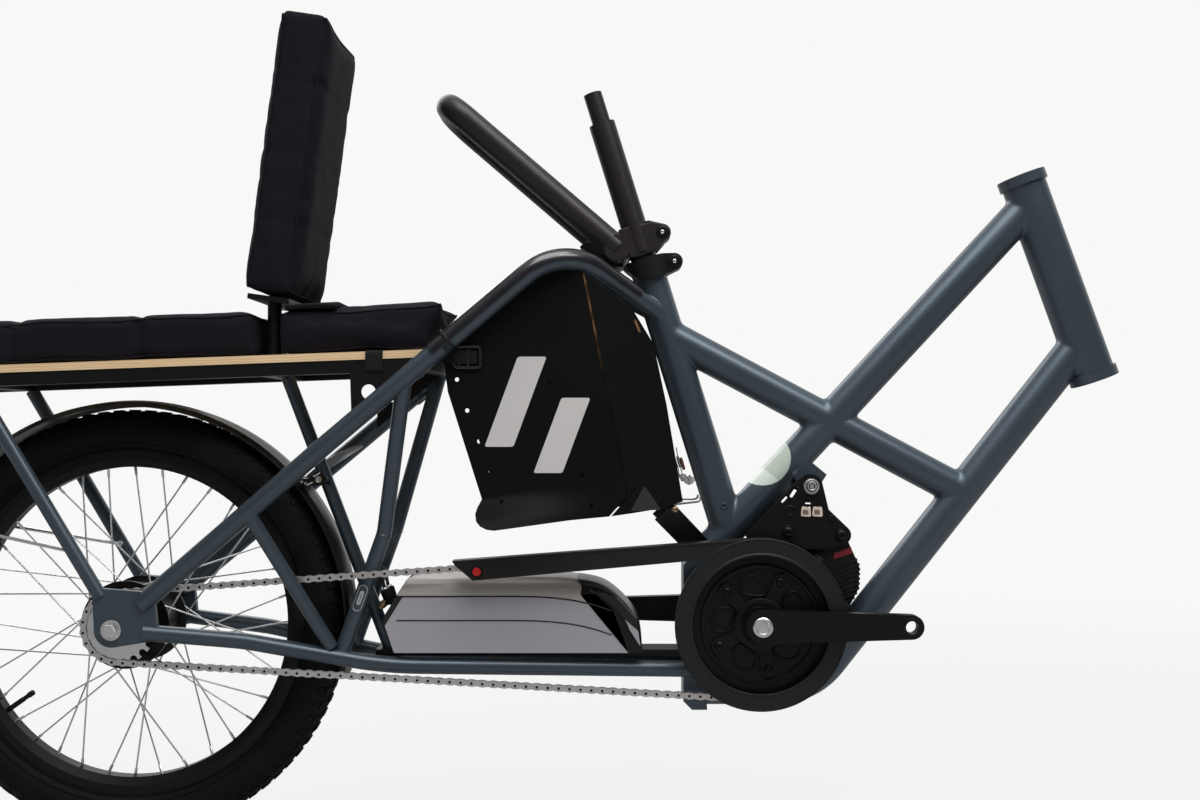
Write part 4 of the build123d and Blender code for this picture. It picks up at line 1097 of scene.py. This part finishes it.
def bolts():
    """Screws, nuts, washers and rivets, with the seat clamp's cheeks and the rest under the grab hoop."""
    steel, black, red, painted, spider, crank = (bmesh.new() for _ in range(6))
    guard_tail, apex = at(-328.3, -70.0, 61.7), at(60.3, -54, 159.7)
    for mesh, steps, spot, profile in (
            (black, 28, guard_tail,
             [(0, -0.5), (7.2, -0.5), (7.2, 0.5), (6.6, 1.2), (5.2, 1.2), (5.0, 0.4), (0, 0.4)]),
            (red, 28, guard_tail,
             [(0, 0), (4.9, 0), (4.9, 1.6), (4.3, 2.3), (3.1, 2.5), (2.7, 2.4), (2.5, 1.2), (0, 1.2)]),
            (steel, 36, apex, [(6.6, 0), (8.5, 0), (8.5, 1.2), (7.9, 1.9), (6.9, 1.9), (6.6, 1.6), (6.6, 0)]),
            (steel, 36, apex,
             [(3.6, 1.0), (5.7, 1.0), (5.7, 3.4), (5.1, 4.2), (4.0, 4.2), (3.6, 3.8), (3.6, 1.0)]),
            (black, 30, apex, [(0, 0), (6.8, 0), (6.8, 0.9), (5.4, 1.1), (3.8, 2.6), (0, 2.6)]),
            (black, 18, at(84.5, -46.8, 121.5), [(0, -1), (4.2, -1), (4.2, 1.6), (3.4, 2.4), (0, 2.6)]),
            (black, 24, at(36.5, -47.0, 131.0),
             [(4.4, 0), (6.2, 0), (6.2, 1.0), (5.4, 1.4), (4.4, 1.0), (4.4, 0)])):
        lathe(mesh, profile, spot, RIGHT, steps)
    for side in SIDES:
        out = (0, side, 0)
        for x, y, z in ((-112.7, 19.2, 461.3), (-97.9, 13, 427.3)):
            lathe(black, [(2.4, 0.1), (7.6, 0.1), (7.6, 0.9), (6.9, 1.3), (3.4, 1.3), (3.0, 0.8), (2.4, 0.1)],
                  at(x, side * y, z), out, 24)
            lathe(steel, button(2.9, 1.6, socket=0.5), at(x, side * y, z), out, 16)
        rivet = at(-39.4, side * 19.9, 134.6)
        lathe(painted, [(1.7, -1), (4.4, -1), (4.4, 0.8), (3.7, 1.6), (2.2, 1.6), (1.7, 1.1), (1.7, -1)],
              rivet, out)
        lathe(black, [(0, 0), (1.8, 0), (1.8, 0.5), (0, 0.5)], rivet, out, 12)
        eye = [(7.3, -0.2), (10.8, -0.2), (10.8, 0.5), (10.2, 0.9), (7.9, 0.9), (7.3, 0.4), (7.3, -0.2)]
        lathe(spider, eye, at(-170 * side, side * 88.0, 0), out, 28)
        cap = [(0, 0), (11.4, 0), (11.4, 1.0), (10.2, 1.9), (7.8, 1.9), (6.9, 0.8), (4.3, 0.8), (4.1, -0.2),
               (0, -0.2)]
        lathe(crank, cap, at(0, side * 87.9, 0), out, 36)
    hexagon(steel, at(60.3, -56.4, 159.7), RIGHT, 4.6, 1.4, 0.3)
    hexagon(steel, at(60.3, 60.8, 159.7), LEFT, 13, 6, 0.8)
    for x, z in ((33.8, 105.6), (95.9, 102.1)):
        lathe(black, button(6.8, 4.4), at(x, -47.0, z), RIGHT)
        lathe(black, washer(8.2, 6.0, 1.1), at(x, -47.0, z), RIGHT)
        lathe(black, button(6.8, 4.4), at(x, 54.2, z), LEFT)
    for k in range(SPIDER_ARMS):
        a = radians(SPIDER_START + k * 360 / SPIDER_ARMS)
        lathe(spider, button(5.6, 3.4, socket=0.45), at(54 * cos(a), -59.6, 54 * sin(a)), RIGHT, 20)

    cheeks, rest = bmesh.new(), bmesh.new()
    lean = Matrix.Rotation(SEAT_LEAN, 2)
    outline = [lean @ Vector(p) for p in (
        (-20, 463), (-20.5, 492), (-8, 491.5), (20, 489), (31, 484.5), (39, 477.5), (38.5, 468), (31, 464),
        (17, 455), (-8, 454), (-16, 456.5))]
    for low in (-19.2, 12.5):
        plate(cheeks, rounded_outline(outline, 2.2, 2), low, 6.7)
    piece("clamp_cheeks", cheeks, ANODISED, bevel=0.9)
    saddle = ((-212, 444.5), (-203, 452), (-182, 446), (-163, 434), (-158, 421), (-171, 420.5), (-198, 437.2))
    plate(rest, rounded_outline(saddle, 1.5, 2), -11, 22)
    piece("hoop_rest", rest, BLACK_STEEL, bevel=1.0)
    piece("silver_bolts", steel, STEEL)
    piece("black_bolts", black, BLACK_ALLOY)
    piece("painted_rivets", painted, PAINT)
    piece("red_screw", red, RED)
    piece("spider_bolts", spider, BLACK_ALLOY, body="crank")
    piece("crank_bolts", crank, STEEL, body="crank")


# ------------------------ motor, chain guard, battery and small frame parts
def motor_details():
    """Cooling ribs and a red strip on the motor, and the pale blocks and their pads in the motor plate."""
    tree = surface("motor")
    mesh = bmesh.new()
    for k in range(9):
        z = 71 - k * 5.6
        line = trace(tree, [(x, -90, z - 12 + (x - 84) * 0.46) for x in (78, 84, 92, 100, 107)], LEFT, 0.2)
        line += trace(tree, [(150, y, z + 1) for y in (-35, -22, 0, 22, 38)], (-1, 0, 0), 0.2)
        if len(line) > 4:
            sweep(mesh, smooth_path(line, 3.5), rounded_outline(flat(1.4, 3.0), 0.5, 2), up=(0, 0, 1))
    bead(mesh, [(44, -39.4, 84.5), (62, -39.8, 83.2), (84, -39.6, 79.2)], 1.5, step=4)
    piece("motor_ribs", faced_out(mesh), CASTING)

    strip, foam, pads = bmesh.new(), bmesh.new(), bmesh.new()
    plate(strip, rounded_outline(((88.0, 73.2), (110.2, 80.6), (108.8, 87.4), (88.6, 80.8)), 0.6), -39.8, 1.1)
    for x0, x1 in ((48.4, 60.6), (61.6, 74.2)):
        window = ((x0, 124.2), (x1, 123.4), (x1 - 0.6, 134.4), (x0 + 1.2, 136))
        plate(foam, rounded_outline(window, 2.4), -47.5, 9)
    for x in (54.0, 67.4):
        block = ((x - 3.4, 126.4), (x + 3.4, 126.2), (x + 3.2, 131.6), (x - 3.4, 132))
        plate(pads, rounded_outline(block, 1.6, 3), -47.8, 0.5)
    piece("motor_red_strip", strip, DARK_RED)
    piece("motor_foam", foam, BEIGE, bevel=0.5)
    piece("motor_pads", pads, PAD)


def chain_guard_details():
    """The beads pressed into the chain guard, and the relief of the chainring's spider."""
    mesh = bmesh.new()
    inner = [(79.8, -0.2), (83.0, -0.2), (83.0, 0.3), (82.2, 0.9), (80.6, 0.9), (79.8, 0.4), (79.8, -0.2)]
    outer = [(98.0, -0.2), (99.8, -0.2), (99.8, 0.2), (99.2, 0.6), (98.4, 0.6), (98.0, -0.2)]
    for profile in (inner, outer):
        lathe(mesh, profile, at(0, -70, 0), RIGHT, 120)
    joint = [Vector((x, -70.2, z)) for x, z in ((-32.5, 98.4), (-33.6, 88), (-34.5, 76))]
    sweep(mesh, joint, flat(0.6, 0.7))
    bead(mesh, [(-350 + 29 * k, -70.1, 73.2 + 29 * k * 0.0739) for k in range(12)], 0.8, 6)
    piece("guard_beads", faced_out(mesh), GUARD_PLASTIC)

    mesh = bmesh.new()
    lathe(mesh, [(64, 0.1), (70, 0.1), (70, 1.3), (68.5, 2.3), (66, 2.3), (64, 1.2), (64, 0.1)],
          at(0, -55.2, 0), RIGHT, 96)
    lathe(mesh, [(19.5, 0), (30, 0), (30, 1.6), (28, 2.6), (22, 2.6), (19.5, 1.6), (19.5, 0)],
          at(0, -59.4, 0), RIGHT, 64)
    for k in range(SPIDER_ARMS):
        a = radians(SPIDER_START + 180 / SPIDER_ARMS + k * 360 / SPIDER_ARMS)
        window = [Vector((r * cos(a + t), -55.6, r * sin(a + t))) for r, t in
                  ((33, -0.30), (41, -0.34), (50, -0.22), (57, 0.0), (55, 0.24), (46, 0.34), (37, 0.26))]
        sweep(mesh, smooth_path(window, 3, closed=True), disc(1.7, 8), closed=True)
    piece("chainring_relief", faced_out(mesh), BLACK_ALLOY, body="crank")


def battery_line(x):
    """Height of the seam between the battery's flank and its cover."""
    return SEAM_Z - SEAM_DROP * max(0, (x - SEAM_BEND) / SEAM_REACH) ** 3


def rounded_block(outline, top_edges, half_width):
    """A plate standing across the bike, the edges over its top and nose rounded."""
    mesh = bmesh.new()
    plate(mesh, outline, -half_width, 2 * half_width)
    places = {(round(x * MM + CRANK.x, 6), round(z * MM + CRANK.z, 6)) for x, z in top_edges}
    edges = [e for e in mesh.edges if abs(e.verts[0].co.y - e.verts[1].co.y) < 1e-7
             and all((round(v.co.x, 6), round(v.co.z, 6)) in places for v in e.verts)]
    round_off(mesh, edges, 17, 5)
    return mesh


def battery_details():
    """The battery's rounded cover and nose, its seams, and the plugs and leads behind it."""
    crown = [(-412.3, 51.5), (-380, 51.6), (-300, 51.8), (-236, 51.5), (-225, 50.9), (-214, 49.8)]
    seam = [(x, battery_line(x)) for x in (-180, -188, -196, -205, -215, -228, -245, -265, -290, -340, -425)]
    cover = rounded_block(crown + [(-205, 44.4), (-192, 33.1)] + seam, crown + [(-205, 44.4)], 46.5)
    piece("battery_cover", cover, BATTERY, crisp=40)
    nose = [(-214, 49.9), (-207, 49.1), (-200, 47.9), (-194, 46.6), (-188, 44.9), (-182, 42.4), (-176, 39.0),
            (-171, 35.4), (-166, 31.2), (-160, 25.6), (-155, 20.2), (-150, 14.2), (-146, 8.6), (-142.5, 2.0),
            (-140, -5), (-138, -16)]
    back = [(-137, -36), (-153, -36), (-171, 14.0), (-192.5, 33.3)]
    piece("battery_nose", rounded_block(nose + back, nose, 46.7), PLASTIC, crisp=40)

    tree = surface("battery")
    mesh = bmesh.new()
    for side in SIDES:
        for drop, r in ((0.9, 1.0), (29.2, 0.75)):
            starts = [(x, side * 120, battery_line(x) - drop) for x in range(-425, -169, 4)]
            line = trace(tree, starts, (0, -side, 0), 0.1)
            if len(line) > 4:
                bead(mesh, line, r)
    plate(mesh, ((-409.6, 52.6), (-416.6, 44.6), (-417.6, 45.4), (-410.6, 53.4)), -30, 60)
    piece("battery_seams", mesh, PLASTIC)

    plug, fitting, cable, ring = (bmesh.new() for _ in range(4))
    for y, out in ((-20, -33), (6, 33)):
        spot, run = Vector((-438, y, 22)), Vector((-0.36, 0, 0.93))
        lathe(plug, [(0, -4), (4.2, -4), (5.2, 0), (5.2, 2), (5.8, 2.4), (6.3, 12), (5.6, 14), (3.4, 14.4),
                     (0, 14.4)], at(*spot), run)
        lathe(plug, [(0, -6), (4.0, -6), (4.4, 6), (0, 6)], at(-436, y, 21), (-1, 0, 0.15), 20)
        lathe(ring, washer(4.6, 2.3, 2.2), at(*(spot + run * 14.2)), run, 22)
        lathe(fitting, [(0, -2), (3.4, -2), (3.8, 3), (4.6, 3.4), (4.6, 8), (3.6, 8.6), (3.4, 11), (0, 11.4)],
              at(-442, y, 22), (-0.62, 0, -0.78), 20)
        top = spot + run * 14
        bead(cable, [top, top + Vector((-2, 0, 8)), (-449, (y + out) / 2, 53), (-455, out, 61)], 2.1, 10, 2.5)
    piece("battery_leads", faced_out(cable), PLASTIC)
    piece("battery_lead_rings", ring, STEEL)
    piece("battery_plugs", plug, RUBBER)
    piece("battery_fittings", fitting, BRONZE)


def round_label():
    """A disc wrapped round the main beam."""
    base, along, r = Vector(MAIN_BEAM[0]), Vector(MAIN_BEAM[1]).normalized(), MAIN_BEAM[2] + 0.3
    side, up = Vector(RIGHT), Vector((-along.z, 0, along.x))
    label_r = 32.4
    mesh = bmesh.new()
    bmesh.ops.create_grid(mesh, x_segments=44, y_segments=44, size=1.0)
    for v in mesh.verts:                     # the square grid becomes a disc, which then wraps round the beam
        reach = max(abs(v.co.x), abs(v.co.y)) / max(v.co.length, 1e-6)
        run, around = 50 + v.co.x * reach * label_r, v.co.y * reach * label_r / r + radians(80)
        v.co = at(*(base + along * run + (side * cos(around) + up * sin(around)) * r))
    bmesh.ops.solidify(mesh, geom=mesh.faces[:], thickness=0.25 * MM)
    piece("round_label", faced_out(mesh), STICKER)


def stadium(spot, run, across, long, wide, lift):
    """A long ring laid on the right side of the front strut, whose radius is 9 mm there."""
    ring = []
    for k in range(30):
        a = 2 * pi * k / 30
        step = (long - wide) * (1 if cos(a) > 0 else -1) + wide * cos(a)
        off = wide * sin(a)
        ring.append(spot + run * step + across * off + Vector(RIGHT) * (sqrt(9**2 - off**2) + lift))
    return ring


def frame_details():
    """Slots in the front struts with bright steel rings standing in as painted highlights, latches behind the
    seat tube, and the clamp and blade by the mudguard.
    """
    painted, steel, bronze, red, hose, dark = (bmesh.new() for _ in range(6))
    bend, low = Vector((-440, -40.5, 104)), Vector((-491, -39.5, -38))
    run = (bend - low).normalized()
    across = run.cross(Vector(LEFT)).normalized()
    joint = [bend - run * 2 + (across * cos(a) + run.cross(across) * sin(a)) * 8.8
             for a in (2 * pi * k / 24 for k in range(24))]
    for side in SIDES:
        # the frame-painted ring outlines the slot; the thin steel ring and the steel pill inside it are
        # painted highlights, the glints on a glossy flattened tube
        for mesh, long, wide, lift, section in (
                (painted, 17, 6.4, 0.1, disc(1.2, 8)),
                (steel, 15.5, 5.0, 0.2, disc(0.5, 6)),
                (steel, 7.5, 1.4, 0.0, disc(1.3, 8))):
            ring = stadium(low + run * 71, run, across, long, wide, lift)
            sweep(mesh, on_side(side, ring), section, closed=True)
        sweep(painted, on_side(side, joint), disc(0.9, 6), closed=True)

        hook = ((-100, -56, 138.6), (-92.5, -50, 139.2), (-80, -38, 139.8), (-72, -31, 140.3),
                (-68.4, -28, 142), (-67.6, -27, 146))
        bead(steel, on_side(side, hook), 1.3, step=2.0)
        clip = ((-92, -54, 168), (-86, -48, 167.6), (-83, -42, 163.6), (-79, -37, 164.6), (-76, -32, 168))
        sweep(steel, smooth_path(on_side(side, clip), 2.0), rounded_outline(flat(5.5, 1.6), 0.6, 2),
              up=(0, side, 0.2))
        lathe(steel, washer(4.6, 2.0, 1.2), at(-84.5, side * 47.5, 166.5), (0.3, side, 0.2), 18)
        tie = ((-97.5, -52, 205), (-96, -50, 196), (-93.5, -47, 186), (-91, -45, 177), (-90, -46, 169))
        bead(hose, on_side(side, tie), 0.7, 6, 2.5)
        lathe(red, [(0, 0), (1.3, 0), (1.9, 2), (1.9, 13), (1.2, 15), (0, 15)], at(-88.0, side * 45, 178.5),
              (-0.27, 0, 0.96), 12)
        lathe(bronze, button(4.2, 4.0), at(-99.5, side * 58, 132.8), (0.3, side, 0), 18)
    blade = ((-572, 82, 150), (-553, 81, 167), (-530, 82, 184), (-508, 83.5, 197), (-490, 86, 206))
    sweep(steel, smooth_path(blade, 3), rounded_outline(flat(12, 2.0), 0.7, 2), up=LEFT,
          grow=lambda share: 0.18 + 0.82 * sin(pi * share) ** 0.6)

    plate(dark, rounded_outline(((-546, 158), (-515, 160), (-509, 167), (-516, 176), (-524, 176), (-529, 168),
                                 (-546, 167)), 2), -30, 3)
    lathe(steel, button(3.6, 3.2, 0.55), at(-520.0, -30, 166.5), RIGHT, 18)
    lathe(bronze, washer(4.2, 1.6, 0.9), at(-520.0, -30, 166.5), RIGHT, 20)
    for x, z in ((-539.5, 164.0), (-534.8, 162.0)):
        hexagon(steel, at(x, -30, z), RIGHT, 3.2, 3, 0.5)
    for x, z in ((-539.5, 164.0), (-534.8, 162.0), (-520.0, 166.5)):
        lathe(bronze, [(2.6, 0), (3.8, 0), (3.8, 20), (2.6, 20), (2.6, 0)], at(x, -27, z), LEFT, 16)
    bead(steel, ((-533, -31.0, 160.4), (-526.5, -31.0, 163.5)), 0.9)
    bead(steel, ((-525.5, -31.2, 170), (-518.0, -31.2, 174.6)), 0.9)
    piece("guard_clamp", faced_out(dark), BLACK_STEEL)
    piece("strut_slots", faced_out(painted), PAINT)
    # silver fittings, together with the strut slots' steel rings that are painted highlights
    piece("silver_fittings", faced_out(steel), STEEL)
    piece("bronze_fittings", bronze, BRONZE)
    piece("brown_grommets", red, RUST)
    piece("thin_wires", faced_out(hose), HOSE)


stage()
welds()
chain()
tread()
wheel_details()
seats()
guard_details()
straps()
bolts()
motor_details()
chain_guard_details()
battery_details()
round_label()
frame_details()
